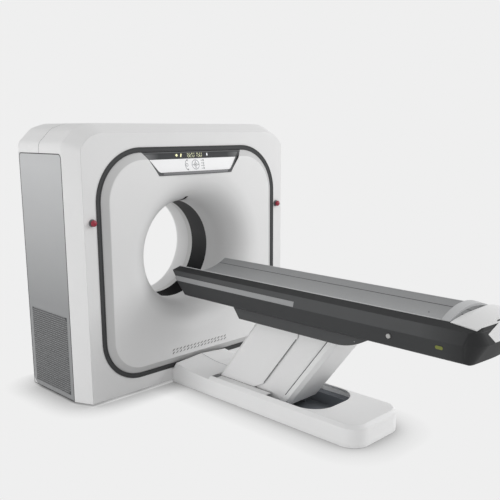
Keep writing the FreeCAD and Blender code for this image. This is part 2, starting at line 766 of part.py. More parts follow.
def bulge_block(draw, back_y):
    """The front cover as a solid block whose face stands off the housing."""
    base_draw = TRIM_W + COVER_GAP + draw
    rim = trim_outline(base_draw, to_xz(back_y))
    foot = trim_outline(base_draw, to_xz(FRONT_Y + draw))
    face = trim_outline(base_draw + BULGE_DRAW, to_xz(FRONT_Y - BULGE + draw))
    return prism(rim, vec(0, FRONT_Y + draw - back_y, 0)).fuse(loft(foot, face))


def funnel_section(mouth_y, mouth_r, depth, direction, wall):
    """Section of a flared funnel from its mouth down to the bore, in the plane x, y."""
    centre = vec(mouth_r, mouth_y + direction * depth, ISO_Z)
    outer = Part.Ellipse(centre, mouth_r - BORE_R, depth)
    inner = Part.Ellipse(centre, mouth_r - BORE_R - wall, depth - wall)
    if direction > 0:
        first, last = math.pi, 1.5 * math.pi
    else:
        first, last = 0.5 * math.pi, math.pi
    bore_side = Part.ArcOfEllipse(outer, first, last).toShape()
    back_side = Part.ArcOfEllipse(inner, first, last).toShape()
    throat = vec(BORE_R, centre.y, ISO_Z)
    throat_back = vec(BORE_R + wall, centre.y, ISO_Z)
    lip = vec(mouth_r, mouth_y, ISO_Z)
    lip_back = vec(mouth_r, mouth_y + direction * wall, ISO_Z)
    edges = [bore_side, Part.makeLine(lip, lip_back), back_side,
             Part.makeLine(throat_back, throat)]
    return Part.Face(Part.Wire(Part.__sortEdges__(edges)))


def console_plane_y(z):
    """Front of the sloping console at height z."""
    slope = (BULGE - TRIM_PROUD + CONSOLE_PROUD) / (CONSOLE_TOP_Z - CONSOLE_BOTTOM_Z)
    return FRONT_Y - BULGE - CONSOLE_PROUD + (z - CONSOLE_BOTTOM_Z) * slope


def console_slab(recess, back_y):
    """Everything behind the console's sloping front, recessed by some depth."""
    low, high = CONSOLE_BOTTOM_Z - 2 * REACH, CONSOLE_TOP_Z + 2 * REACH
    points = [(console_plane_y(low) + recess, low), (back_y, low), (back_y, high),
              (console_plane_y(high) + recess, high)]
    half = CONSOLE_TOP_HALF + 2 * REACH
    return prism(polygon(points, to_yz(-half)), vec(2 * half, 0, 0))


def console_outline(draw, top_z, place):
    """The console's trapezium, drawn in by draw, up to top_z."""
    lean = (CONSOLE_TOP_HALF - CONSOLE_LOW_HALF) / (CONSOLE_TOP_Z - CONSOLE_BOTTOM_Z)
    skew = math.hypot(1, lean)
    low_z = CONSOLE_BOTTOM_Z + draw
    low_half = CONSOLE_LOW_HALF + draw * lean - draw * skew
    top_half = low_half + (top_z - low_z) * lean
    points = [(-low_half, low_z), (low_half, low_z), (top_half, top_z), (-top_half, top_z)]
    return rounded(points, [CONSOLE_CORNER, CONSOLE_CORNER, 0, 0], place)


def console_prism(draw, top_z, recess, back_y):
    wire = console_outline(draw, top_z, to_xz(FRONT_Y - 2 * REACH))
    return prism(wire, vec(0, 4 * REACH, 0)).common(console_slab(recess, back_y))


def vent_slots():
    """Two rows of slanted slots low on the front cover."""
    front = FRONT_Y - BULGE - PAST
    cutters = []
    for row in range(2):
        for i in range(VENT_COUNT):
            x = (i - (VENT_COUNT - 1) / 2) * VENT_PITCH
            z = VENT_Z + (row - 0.5) * VENT_ROW_PITCH
            slot = box(-VENT_L / 2, VENT_L / 2, front, front + COVER_WALL + 2 * PAST,
                       -VENT_H / 2, VENT_H / 2)
            slot.rotate(vec(0, 0, 0), Y_AXIS, -VENT_LEAN)
            slot.translate(vec(x, 0, z))
            cutters.append(slot)
    return cutters


def laser_tool():
    """Where the laser window sits, at the top of the funnel's throat."""
    return box(-LASER_HALF_W, LASER_HALF_W, LASER_FRONT_Y, LASER_REAR_Y,
               ISO_Z + BORE_R - PAST, ISO_Z + BORE_R + REACH)


def front_funnel():
    face = funnel_section(FRONT_Y - BULGE, FUNNEL_R, FUNNEL_DEPTH, 1, COVER_WALL)
    flare = face.revolve(ISO, Y_AXIS, 360)
    throat_y = FRONT_Y - BULGE + FUNNEL_DEPTH
    throat = ring_y(BORE_R + COVER_WALL, BORE_R, throat_y, -SCAN_HALF - COVER_GAP / 2)
    return flare.fuse(throat)


def front_cover():
    back_y = FRONT_Y + TRIM_DEPTH - TRIM_PROUD
    shell = bulge_block(0, back_y).cut(bulge_block(COVER_WALL, back_y + PAST))
    centre = rod(FUNNEL_R, vec(0, FRONT_Y - BULGE - PAST, ISO_Z), vec(0, back_y, ISO_Z))
    cover = fuse(shell.cut(centre), front_funnel())
    console = console_prism(-COVER_GAP, CONSOLE_TOP_Z + REACH, -REACH / 2, back_y + REACH / 2)
    return cover.cut([console, laser_tool()] + vent_slots())


def laser_window():
    return front_funnel().common(laser_tool())


def console_back_y():
    return FRONT_Y + TRIM_DEPTH - TRIM_PROUD


def console_housing():
    """Dark tray with a rim round the display and the keys, and a ledge below them."""
    tray = console_prism(0, CONSOLE_TOP_Z, 0, console_back_y())
    hollow = console_prism(CONSOLE_FRAME_W, CONSOLE_TOP_Z - CONSOLE_FRAME_W / 2, -REACH,
                           console_plane_y(CONSOLE_TOP_Z) + CONSOLE_FRAME_W)
    return tray.cut(hollow)


def console_inside(low_z, high_z):
    """Space inside the console's rim between two heights."""
    area = console_prism(CONSOLE_FRAME_W, CONSOLE_TOP_Z - CONSOLE_FRAME_W / 2, DISPLAY_RECESS,
                         console_plane_y(CONSOLE_TOP_Z) + CONSOLE_FRAME_W)
    half = CONSOLE_TOP_HALF
    return area.common(box(-half, half, FRONT_Y - 2 * REACH, FRONT_Y + REACH, low_z, high_z))


def display_panel():
    return console_inside(DISPLAY_LOW_Z + COVER_GAP, CONSOLE_TOP_Z)


def key_panel():
    return console_inside(CONSOLE_BOTTOM_Z, DISPLAY_LOW_Z)


def stop_collar():
    """Right-hand collar of an emergency button, with its threaded barrel."""
    face = vec(STOP_X, FRONT_Y, STOP_Z)
    flange = Part.makeCone(STOP_COLLAR_R - 3, STOP_COLLAR_R, STOP_COLLAR_H,
                           face - vec(0, STOP_COLLAR_H, 0), Y_AXIS)
    barrel = rod(STOP_BARREL_R - STOP_BARREL_GAP, face, face + vec(0, STOP_BARREL_L, 0))
    bore = rod(STOP_STEM_R + PIN_GAP, face - vec(0, STOP_COLLAR_H + PAST, 0),
               face + vec(0, STOP_BARREL_L + PAST, 0))
    return fuse(flange, barrel).cut(bore)


def stop_button():
    """Right-hand mushroom button with its stem."""
    face = vec(STOP_X, FRONT_Y - STOP_COLLAR_H - STOP_TRAVEL - STOP_REST_GAP, STOP_Z)
    section = [(0, 0), (0.85 * STOP_KNOB_R, 0), (STOP_KNOB_R, -0.2 * STOP_KNOB_H),
               (STOP_KNOB_R, -0.5 * STOP_KNOB_H), (0.75 * STOP_KNOB_R, -0.8 * STOP_KNOB_H),
               (0.4 * STOP_KNOB_R, -0.95 * STOP_KNOB_H), (0, -STOP_KNOB_H)]
    knob = turned_up(section, lambda u, v: vec(STOP_X + u, face.y + v, STOP_Z), face, Y_AXIS)
    stem = rod(STOP_STEM_R, face, face + vec(0, STOP_STEM_L, 0))
    return fuse(knob, stem)


def scan_window():
    return ring_y(BORE_R + WINDOW_WALL, BORE_R, -SCAN_HALF, SCAN_HALF)


def rear_bore_liner():
    tube = ring_y(BORE_R + COVER_WALL, BORE_R, SCAN_HALF + COVER_GAP / 2, LINER_SEAM_Y)
    lip = ring_y(BORE_R + COVER_WALL + LINER_LIP_H, BORE_R, LINER_SEAM_Y - LINER_LIP_T, LINER_SEAM_Y)
    return fuse(tube, lip)


def rear_cover():
    """Rear cover: a flat plate in the housing's opening, flared into the bore."""
    plate = prism(rear_opening(COVER_GAP, to_xz(REAR_Y - COVER_WALL)), vec(0, COVER_WALL, 0))
    plate = plate.cut(rod(REAR_FUNNEL_R, vec(0, REAR_Y - REACH, ISO_Z), vec(0, REAR_Y + PAST, ISO_Z)))
    face = funnel_section(REAR_Y, REAR_FUNNEL_R, REAR_FUNNEL_DEPTH, -1, COVER_WALL)
    flare = face.revolve(ISO, Y_AXIS, 360)
    throat = ring_y(BORE_R + COVER_WALL, BORE_R, LINER_SEAM_Y + COVER_GAP / 2,
                    REAR_Y - REAR_FUNNEL_DEPTH)
    front = REAR_Y - REAR_LIP_DEPTH
    depth = vec(0, REAR_LIP_DEPTH - COVER_WALL / 2, 0)
    lip = prism(rear_opening(COVER_GAP, to_xz(front)), depth)
    lip = lip.cut(prism(rear_opening(COVER_GAP + COVER_WALL, to_xz(front - PAST)), 2 * depth))
    return fuse(plate, flare, throat, lip)


# ---- works inside the gantry ----

def gantry_base_frame():
    """Welded base: two cross beams, two side beams, anchor feet and cover brackets."""
    reach = HOUSING_HALF_W - PANEL_T
    inner = BEAM_W / 2
    parts = []
    for y in (-ANCHOR_Y, ANCHOR_Y + REAR_BEAM_SHIFT):
        parts.append(box(-reach, reach, y - inner, y + inner, BEAM_LOW_Z, BEAM_TOP_Z))
    for side in (-1, 1):
        parts.extend(base_side(side))
    parts.append(motor_bracket())
    frame = fuse(parts[0], *parts[1:])
    holes = []
    for y in (-ANCHOR_Y, ANCHOR_Y):
        for x in (-ANCHOR_X, ANCHOR_X):
            holes.append(rod(ANCHOR_R, vec(x, y, -PAST), vec(x, y, FOOT_T + PAST)))
            holes.append(box(x - ACCESS_HALF, x + ACCESS_HALF, y - ACCESS_HALF, y + ACCESS_HALF,
                             FOOT_T, BEAM_TOP_Z + PAST))
        for x in (-JACK_X, JACK_X):
            holes.append(rod(JACK_R, vec(x, y, BEAM_LOW_Z - PAST), vec(x, y, BEAM_TOP_Z + PAST)))
    middle = vec(pulley_x(), MOTOR_FACE_Y, PULLEY_Z)
    holes.append(rod(SPIGOT_R, middle, middle + vec(0, BRACKET_T, 0)))
    return frame.cut(holes)


def base_side(side):
    """Side beam with its anchor feet, and the arms that carry the covers."""
    half = BEAM_W / 2
    x = side * ANCHOR_X
    parts = [box(x - half, x + half, -ANCHOR_Y, ANCHOR_Y, BEAM_LOW_Z, BEAM_TOP_Z)]
    for y in (-ANCHOR_Y, ANCHOR_Y):
        parts.append(box(x - FOOT_HALF_W, x + FOOT_HALF_W, y - FOOT_HALF_L, y + FOOT_HALF_L,
                         0, FOOT_T))
        parts.append(box(x - side * FOOT_HALF_W, x - side * FOOT_POST_IN,
                         y - FOOT_POST_FRONT, y + FOOT_POST_REAR, 0, BEAM_LOW_Z))
    x0, x1 = side * (COVER_ARM_X - COVER_ARM_HALF), side * (COVER_ARM_X + COVER_ARM_HALF)
    post_back = REAR_POST_Y + REAR_POST_T
    parts.append(box(x0, x1, FRONT_Y + HOUSING_WALL, -ANCHOR_Y, COVER_ARM_LOW_Z, COVER_ARM_TOP_Z))
    parts.append(box(x0, x1, REAR_POST_Y, post_back, BEAM_LOW_Z, REAR_POST_TOP_Z))
    parts.append(box(x0, x1, REAR_POST_Y, REAR_Y - HOUSING_WALL, REAR_POST_LOW_Z, REAR_POST_TOP_Z))
    return parts


def pulley_x():
    """Where the motor's pulley lies beside the rotor, at its own height."""
    return math.sqrt(PULLEY_DISTANCE ** 2 - (ISO_Z - PULLEY_Z) ** 2)


def motor_bracket():
    """Upright plate that carries the rotor motor, with a foot out to the side beam."""
    x0, x1 = pulley_x() - MOTOR_R - BRACKET_SIDE, pulley_x() + MOTOR_R + BRACKET_SIDE
    back = MOTOR_FACE_Y + BRACKET_T
    plate = box(x0, x1, MOTOR_FACE_Y, back, BEAM_LOW_Z, PULLEY_Z + PULLEY_R)
    foot = box(x0, ANCHOR_X, MOTOR_FACE_Y - BRACKET_FOOT_L, back, BEAM_LOW_Z,
               BEAM_TOP_Z - BRACKET_FOOT_DROP)
    return plate.fuse(foot)


def levelling_feet():
    """Four jacking screws with round pads."""
    feet = []
    for x in (-JACK_X, JACK_X):
        for y in (-ANCHOR_Y, ANCHOR_Y):
            pad = Part.makeCone(3 * JACK_R, 2.2 * JACK_R, JACK_PAD_H, vec(x, y, 0), Z_AXIS)
            screw = rod(JACK_R - PIN_GAP, vec(x, y, JACK_PAD_H / 2), vec(x, y, BEAM_TOP_Z - PAST))
            nut = rod(1.7 * JACK_R, vec(x, y, BEAM_LOW_Z - JACK_PAD_H), vec(x, y, BEAM_LOW_Z))
            feet.append(fuse(pad, screw, nut))
    return Part.makeCompound(feet)


def stator_frame():
    """Upright plate that carries the main bearing, with two legs and lightening holes."""
    right = [(STATOR_LEG_X - STATOR_LEG_W, BEAM_TOP_Z), (STATOR_LEG_X, BEAM_TOP_Z),
             (STATOR_WAIST_X, STATOR_WAIST_Z), (STATOR_TOP_X, STATOR_TOP_Z)]
    left = [(-x, z) for x, z in reversed(right)]
    arch = [(-STATOR_ARCH_X, STATOR_ARCH_Z), (STATOR_ARCH_X, STATOR_ARCH_Z)]
    radii = [STATOR_ARCH_R, STATOR_ARCH_R, 0, 0, STATOR_WAIST_R, STATOR_TOP_R,
             STATOR_TOP_R, STATOR_WAIST_R, 0, 0]
    plate = prism(rounded(arch + right + left, radii, to_xz(STATOR_Y)), vec(0, STATOR_T, 0))
    rear = STATOR_Y + STATOR_T
    holes = [rod(STATOR_BORE_R, vec(0, STATOR_Y - PAST, ISO_Z), vec(0, rear + PAST, ISO_Z))]
    for side in (-1, 1):
        for degrees in STATOR_HOLE_ANGLES:
            centre = rotor_point(STATOR_HOLE_RING_R, degrees, STATOR_Y - PAST)
            centre.x = side * centre.x
            holes.append(rod(STATOR_HOLE_R, centre, centre + vec(0, STATOR_T + 2 * PAST, 0)))
    ribs = []
    for side in (-1, 1):
        ribs.append(box(side * STATOR_TOP_X, side * (STATOR_TOP_X + STATOR_RIB_T), rear,
                        rear + STATOR_RIB_D, BEAM_TOP_Z, STATOR_WAIST_Z))
    rim = ring_y(STATOR_BORE_R + STATOR_RIM_W, STATOR_BORE_R, rear, rear + STATOR_RIM_T)
    return fuse(plate, rim, *ribs).cut(holes)


def bearing_outer_ring():
    body = ring_y(BEARING_R + BEARING_W, BEARING_R + BEARING_GAP, STATOR_Y - BEARING_DEPTH, STATOR_Y)
    return body.cut(ball_groove())


def bearing_inner_ring():
    body = ring_y(BEARING_R, BEARING_R - BEARING_W, ROTOR_FRONT_Y + ROTOR_T,
                  STATOR_Y - BEARING_REAR_GAP)
    return body.cut(ball_groove())


def ball_groove():
    """Track of the bearing's balls."""
    return Part.makeTorus(BEARING_R, BALL_GROOVE_R, vec(0, STATOR_Y - BALL_IN, ISO_Z), Y_AXIS)


def rotor_drum():
    """Rotating disc with a belt rim and lightening holes."""
    rear = ROTOR_FRONT_Y + ROTOR_T
    disc = ring_y(ROTOR_R, ROTOR_BORE_R, ROTOR_FRONT_Y, rear)
    rim = ring_y(ROTOR_R, ROTOR_R - ROTOR_RIM_W, ROTOR_FRONT_Y - ROTOR_T, ROTOR_FRONT_Y)
    holes = []
    for i in range(ROTOR_HOLES):
        start = rotor_point(TUBE_CENTRE_R, 360.0 * (i + 0.5) / ROTOR_HOLES, ROTOR_FRONT_Y - PAST)
        holes.append(rod(ROTOR_HOLE_R, start, start + vec(0, ROTOR_T + 2 * PAST, 0)))
    return fuse(disc, rim).cut(holes)


def slip_ring():
    """Ring of contact tracks on the rear of the rotor."""
    rear = ROTOR_FRONT_Y + ROTOR_T
    face = rear + SLIP_RING_T
    body = ring_y(ROTOR_R - SLIP_RING_EDGE, ROTOR_R - TRACK_IN - SLIP_RING_LAND, rear, face)
    grooves = []
    for i in range(TRACK_COUNT):
        inner_r = ROTOR_R - TRACK_IN + i * TRACK_PITCH
        grooves.append(ring_y(inner_r + TRACK_W, inner_r, face - TRACK_DEPTH, face + PAST))
    return body.cut(grooves)


def brush_block():
    """Block of brushes that faces the slip ring, on an arm from the stator."""
    face = ROTOR_FRONT_Y + ROTOR_T + SLIP_RING_T
    back = face + BRUSH_L
    x0, x1 = ROTOR_R - TRACK_IN - 4, ROTOR_R - SLIP_RING_EDGE - 2
    block = box(x0, x1, back, STATOR_Y - BRUSH_BLOCK_GAP,
                ISO_Z - BRUSH_BLOCK_HALF_H, ISO_Z + BRUSH_BLOCK_HALF_H)
    arm = box(STATOR_TOP_X - BRUSH_ARM_LAP, x1, STATOR_Y - BRUSH_ARM_T, STATOR_Y,
              ISO_Z - BRUSH_ARM_HALF_H, ISO_Z + BRUSH_ARM_HALF_H)
    brushes = []
    for i in range(TRACK_COUNT - 1):
        x = ROTOR_R - TRACK_IN + i * TRACK_PITCH + TRACK_W + 1
        brushes.append(box(x, x + TRACK_W, face + BRUSH_GAP, back, ISO_Z - BRUSH_HALF_H,
                           ISO_Z + BRUSH_HALF_H))
    return fuse(block, arm, *brushes)


def rotor_point(radius, degrees, y):
    angle = math.radians(degrees)
    return vec(radius * math.cos(angle), y, ISO_Z + radius * math.sin(angle))


def xray_tube():
    """Tube housing with end caps, cable horns and a beam port, over the bore."""
    top = vec(0, 0, ISO_Z + TUBE_CENTRE_R)
    front, rear = TUBE_FRONT_Y, ROTOR_FRONT_Y
    body = rod(TUBE_R, top + vec(0, front, 0), top + vec(0, rear, 0))
    cap = Part.makeCone(TUBE_R - TUBE_CAP_DRAW, TUBE_R, TUBE_CAP_L,
                        top + vec(0, front - TUBE_CAP_L, 0), Y_AXIS)
    half = TUBE_BAND_HALF_L
    band = rod(TUBE_R + TUBE_BAND_H, top - vec(0, half, 0), top + vec(0, half, 0))
    port = box(-TUBE_PORT_HALF_W, TUBE_PORT_HALF_W, -TUBE_PORT_HALF_L, TUBE_PORT_HALF_L,
               top.z - TUBE_R - TUBE_PORT_H, top.z)
    reach = TUBE_R + TUBE_FOOT_OUT
    feet = box(-reach, reach, rear - TUBE_FOOT_T, rear, top.z - TUBE_FOOT_HALF_H,
               top.z + TUBE_FOOT_HALF_H)
    horns = []
    for side in (-1, 1):
        horns.append(rod(HORN_R, top + vec(side * HORN_ROOT_X, HORN_Y, 0),
                         top + vec(side * HORN_TIP_X, HORN_Y, HORN_RISE)))
    return fuse(body, cap, band, port, feet, *horns)


def collimator():
    """Wedge-shaped box with the slit that shapes the beam."""
    top_z = ISO_Z + TUBE_CENTRE_R - TUBE_R - TUBE_PORT_H
    low_z = ISO_Z + ROTOR_BORE_R
    points = [(-COLLIMATOR_TOP_HALF, top_z), (-COLLIMATOR_LOW_HALF, low_z),
              (COLLIMATOR_LOW_HALF, low_z), (COLLIMATOR_TOP_HALF, top_z)]
    front = COLLIMATOR_FRONT_Y
    body = prism(polygon(points, to_xz(front)), vec(0, ROTOR_FRONT_Y - front, 0))
    slit = [(-SLIT_TOP_HALF, top_z + PAST), (-SLIT_LOW_HALF, low_z - PAST),
            (SLIT_LOW_HALF, low_z - PAST), (SLIT_TOP_HALF, top_z + PAST)]
    clear = prism(polygon(slit, to_xz(-SLIT_HALF_L)), vec(0, 2 * SLIT_HALF_L, 0))
    bore = rod(ROTOR_BORE_R - 6, vec(0, front - PAST, ISO_Z), vec(0, ROTOR_FRONT_Y + PAST, ISO_Z))
    return body.cut([clear, bore])


def detector_arc():
    """Curved detector box, centred on the tube's focus, below the bore."""
    focus = vec(0, 0, ISO_Z + FOCUS_R)
    inner_r, outer_r = DETECTOR_FOCUS_R, DETECTOR_FOCUS_R + DETECTOR_T
    start, end = math.radians(-90 - DETECTOR_HALF_ANGLE), math.radians(-90 + DETECTOR_HALF_ANGLE)

    def at(radius, angle):
        return vec(radius * math.cos(angle), DETECTOR_FRONT_Y, focus.z + radius * math.sin(angle))
    middle = math.radians(-90)
    edges = [Part.Arc(at(inner_r, start), at(inner_r, middle), at(inner_r, end)).toShape(),
             Part.makeLine(at(inner_r, end), at(outer_r, end)),
             Part.Arc(at(outer_r, end), at(outer_r, middle), at(outer_r, start)).toShape(),
             Part.makeLine(at(outer_r, start), at(inner_r, start))]
    return Part.Face(Part.Wire(edges)).extrude(vec(0, ROTOR_FRONT_Y - DETECTOR_FRONT_Y, 0))


def rotor_box(degrees, radial, across, thickness, front_y):
    """Box carried on the rotor's front, its middle at a radius and an angle."""
    length = ROTOR_FRONT_Y - front_y
    block = Part.makeBox(thickness, length, across, vec(radial - thickness / 2, front_y, -across / 2))
    block.rotate(vec(0, 0, 0), Y_AXIS, -degrees)
    block.translate(vec(0, 0, ISO_Z))
    return block


def high_voltage_unit():
    body = rotor_box(UNIT_ANGLE, UNIT_R, UNIT_L, UNIT_T, UNIT_FRONT_Y)
    lid = rotor_box(UNIT_ANGLE, UNIT_R, UNIT_L - UNIT_LID_IN, UNIT_T - UNIT_LID_IN,
                    UNIT_FRONT_Y - UNIT_LID_T)
    return fuse(body, lid)


def heat_exchanger():
    """Finned oil cooler beside the tube."""
    core = rotor_box(COOLER_ANGLE, COOLER_R, COOLER_L, COOLER_T, COOLER_FRONT_Y)
    low = -(FIN_COUNT - 1) / 2 * FIN_PITCH
    fins = []
    for i in range(FIN_COUNT):
        corner = vec(COOLER_R - FIN_W / 2, FIN_FRONT_Y, low + i * FIN_PITCH)
        fin = Part.makeBox(FIN_W, FIN_L, FIN_T, corner)
        fin.rotate(vec(0, 0, 0), Y_AXIS, -COOLER_ANGLE)
        fin.translate(vec(0, 0, ISO_Z))
        fins.append(fin)
    return fuse(core, *fins)


def counterweights():
    """Two stacks of balance plates."""
    stacks = []
    for degrees in WEIGHT_ANGLES:
        stacks.append(rotor_box(degrees, WEIGHT_R, WEIGHT_L, WEIGHT_T, 0))
    return Part.makeCompound(stacks)


def motor_pulley():
    x, z = pulley_x(), PULLEY_Z
    front = belt_middle_y() - BELT_W / 2 - PULLEY_SIDE
    rear = belt_middle_y() + BELT_W / 2 + PULLEY_SIDE
    body = rod(PULLEY_R, vec(x, front, z), vec(x, rear, z))
    cheek = rod(PULLEY_R + PULLEY_CHEEK, vec(x, rear, z), vec(x, rear + PULLEY_CHEEK_T, z))
    shaft = rod(MOTOR_SHAFT_R, vec(x, MOTOR_FACE_Y - MOTOR_SHAFT_L, z), vec(x, front, z))
    return fuse(body, cheek, shaft)


def belt_middle_y():
    return ROTOR_FRONT_Y + ROTOR_T / 2


def drive_motor():
    """Motor that turns the rotor, with a bore for its own shaft."""
    face = vec(pulley_x(), MOTOR_FACE_Y, PULLEY_Z)
    body = rod(MOTOR_R, face - vec(0, MOTOR_LENGTH, 0), face)
    spigot = rod(SPIGOT_R - 2 * PIN_GAP, face, face + vec(0, BRACKET_T - PAST, 0))
    box_y = face.y - 0.7 * MOTOR_LENGTH
    terminal_box = box(face.x - TERMINAL_HALF_W, face.x + TERMINAL_HALF_W, box_y,
                       box_y + TERMINAL_L, face.z, face.z + MOTOR_R + TERMINAL_RISE)
    bore = rod(MOTOR_SHAFT_R + PIN_GAP, face - vec(0, MOTOR_SHAFT_L + PAST, 0),
               face + vec(0, BRACKET_T + PAST, 0))
    return fuse(body, spigot, terminal_box).cut(bore)


def drive_belt():
    """Belt round the rotor's rim and the motor's pulley, as one closed loop."""
    y0 = belt_middle_y() - BELT_W / 2
    outer = belt_loop(ROTOR_R + BELT_GAP + BELT_T, PULLEY_R + BELT_GAP + BELT_T, y0)
    inner = belt_loop(ROTOR_R + BELT_GAP, PULLEY_R + BELT_GAP, y0 - PAST)
    return prism(outer, vec(0, BELT_W, 0)).cut(prism(inner, vec(0, BELT_W + 2 * PAST, 0)))


def belt_loop(big_r, small_r, y):
    """Closed wire tangent to both belt circles."""
    px, pz = pulley_x(), PULLEY_Z
    direction = math.atan2(pz - ISO_Z, px)
    swing = math.acos((big_r - small_r) / PULLEY_DISTANCE)

    def on(radius, centre_x, centre_z, angle):
        return vec(centre_x + radius * math.cos(angle), y, centre_z + radius * math.sin(angle))
    big = [on(big_r, 0, ISO_Z, direction + a) for a in (swing, math.pi, -swing)]
    small = [on(small_r, px, pz, direction + a) for a in (-swing, 0, swing)]
    return Part.Wire([Part.Arc(*big).toShape(), Part.makeLine(big[2], small[0]),
                      Part.Arc(*small).toShape(), Part.makeLine(small[2], big[0])])


def power_cabinet():
    """Sheet-metal box of gantry electronics standing on the base beams at the left."""
    sweep = ROTOR_R + CABINET_CLEAR
    inside = math.sqrt(sweep ** 2 - (ISO_Z - CABINET_TOP_Z) ** 2)
    out = CABINET_OUT_X
    body = box(-out, -inside, CABINET_FRONT_Y, CABINET_REAR_Y, BEAM_TOP_Z, CABINET_TOP_Z)
    low = BEAM_TOP_Z + LOUVRE_RISE
    louvres = []
    for i in range(LOUVRE_COUNT):
        z = low + i * LOUVRE_PITCH
        louvres.append(box(-out - PAST, -out + LOUVRE_DEPTH, CABINET_FRONT_Y + LOUVRE_MARGIN,
                           CABINET_REAR_Y - LOUVRE_MARGIN, z, z + LOUVRE_H))
    return body.cut(louvres)


def fan_centre():
    return vec(FAN_X, 0, FAN_Z)


def fan_frame():
    """Square frame of the cooling fan, behind the right-hand grille."""
    centre = fan_centre()
    half = FAN_R + FAN_RIM
    x0, x1 = centre.x - FAN_HALF_T, centre.x + FAN_HALF_T
    block = box(x0, x1, -half, half, centre.z - half, centre.z + half)
    duct = rod(FAN_R, vec(x0 - PAST, 0, centre.z), vec(x1 + PAST, 0, centre.z))
    frame = block.cut(duct)
    hub = rod(FAN_HUB_R, vec(x0, 0, centre.z), vec(x0 + FAN_HUB_L, 0, centre.z))
    axle = rod(AXLE_R, vec(x0 + FAN_HUB_L, 0, centre.z), vec(x1 - AXLE_END, 0, centre.z))
    arms = []
    for i in range(FAN_ARM_COUNT):
        arm = box(-FAN_HALF_T, -FAN_HALF_T + FAN_ARM_T, -FAN_ARM_W / 2, FAN_ARM_W / 2,
                  FAN_HUB_R / 2, FAN_R + FAN_RIM / 2)
        arm.rotate(vec(0, 0, 0), X_AXIS, 360.0 * i / FAN_ARM_COUNT)
        arm.translate(centre)
        arms.append(arm)
    stand = box(x0, x1, -half, half, BEAM_TOP_Z, centre.z - half)
    return fuse(frame, hub, axle, stand, *arms)


def fan_rotor():
    """Hub with seven twisted blades."""
    centre = fan_centre()
    hub_r = FAN_HUB_R - 2
    hub = rod(hub_r, centre - vec(FAN_ROTOR_FRONT, 0, 0), centre + vec(FAN_ROTOR_REAR, 0, 0))
    blades = []
    for i in range(FAN_BLADES):
        blade = box(-FAN_BLADE_W / 2, FAN_BLADE_W / 2, -FAN_BLADE_T / 2, FAN_BLADE_T / 2,
                    0.8 * hub_r, FAN_R - FAN_TIP_GAP)
        blade.rotate(vec(0, 0, 0), Z_AXIS, FAN_BLADE_PITCH)
        blade.rotate(vec(0, 0, 0), X_AXIS, 360.0 * i / FAN_BLADES)
        blade.translate(centre)
        blades.append(blade)
    bore = rod(AXLE_R + PIN_GAP, centre - vec(REACH, 0, 0), centre + vec(REACH, 0, 0))
    return fuse(hub, *blades).cut(bore)


# ---- table lift: a parallelogram of two arms ----

def lean_vector(lean):
    angle = math.radians(lean)
    return vec(0, -math.sin(angle), math.cos(angle))


def arm_point(pivot_y, along, behind):
    """Point at rest, given along the arm and behind its centre line."""
    angle = math.radians(ARM_LEAN)
    y = pivot_y - along * math.sin(angle) - behind * math.cos(angle)
    z = PIVOT_Z + along * math.cos(angle) - behind * math.sin(angle)
    return y, z


def arm_prism(points, pivot_y, x0, x1):
    """Plate in an arm's own plane: points are (along, behind)."""
    flat = [arm_point(pivot_y, along, behind) for along, behind in points]
    return prism(polygon(flat, to_yz(x0)), vec(x1 - x0, 0, 0))


def lift_arm(pivot_y, upper_gap):
    """Welded box arm with an eye at each end."""
    low = vec(0, pivot_y, PIVOT_Z)
    high = low + lean_vector(ARM_LEAN) * ARM_LENGTH
    pieces = []
    half = ARM_EYE_R
    for side in (-1, 1):
        x0, x1 = side * (ARM_HALF_W - ARM_PLATE_T), side * ARM_HALF_W
        web = [(0, -half), (ARM_LENGTH, -half), (ARM_LENGTH, half), (0, half)]
        pieces.append(arm_prism(web, pivot_y, x0, x1))
        for end in (low, high):
            pieces.append(rod(half, end + vec(x0, 0, 0), end + vec(side * ARM_BOSS_X, 0, 0)))
    reach = ARM_HALF_W - ARM_PLATE_T
    for behind in (-half, half - ARM_SKIN_T):
        last = ARM_LENGTH - ARM_SKIN_END
        skin = [(ARM_SKIN_END, behind), (last, behind), (last, behind + ARM_SKIN_T),
                (ARM_SKIN_END, behind + ARM_SKIN_T)]
        pieces.append(arm_prism(skin, pivot_y, -reach, reach))
    for end in (low, high):
        pieces.append(rod(PIN_R + ARM_TUBE_T, end - vec(reach, 0, 0), end + vec(reach, 0, 0)))
    arm = fuse(pieces[0], *pieces[1:])
    half_bore = vec(ARM_BOSS_X + PAST, 0, 0)
    low_bore = rod(PIN_R + PIN_GAP, low - half_bore, low + half_bore)
    high_bore = rod(PIN_R + upper_gap, high - half_bore, high + half_bore)
    return arm.cut([low_bore, high_bore])


def crank_tip():
    """Middle of the crank pin at rest."""
    angle = math.radians(CRANK_MID)
    return vec(0, FRONT_PIVOT_Y - CRANK_R * math.sin(angle), PIVOT_Z - CRANK_R * math.cos(angle))


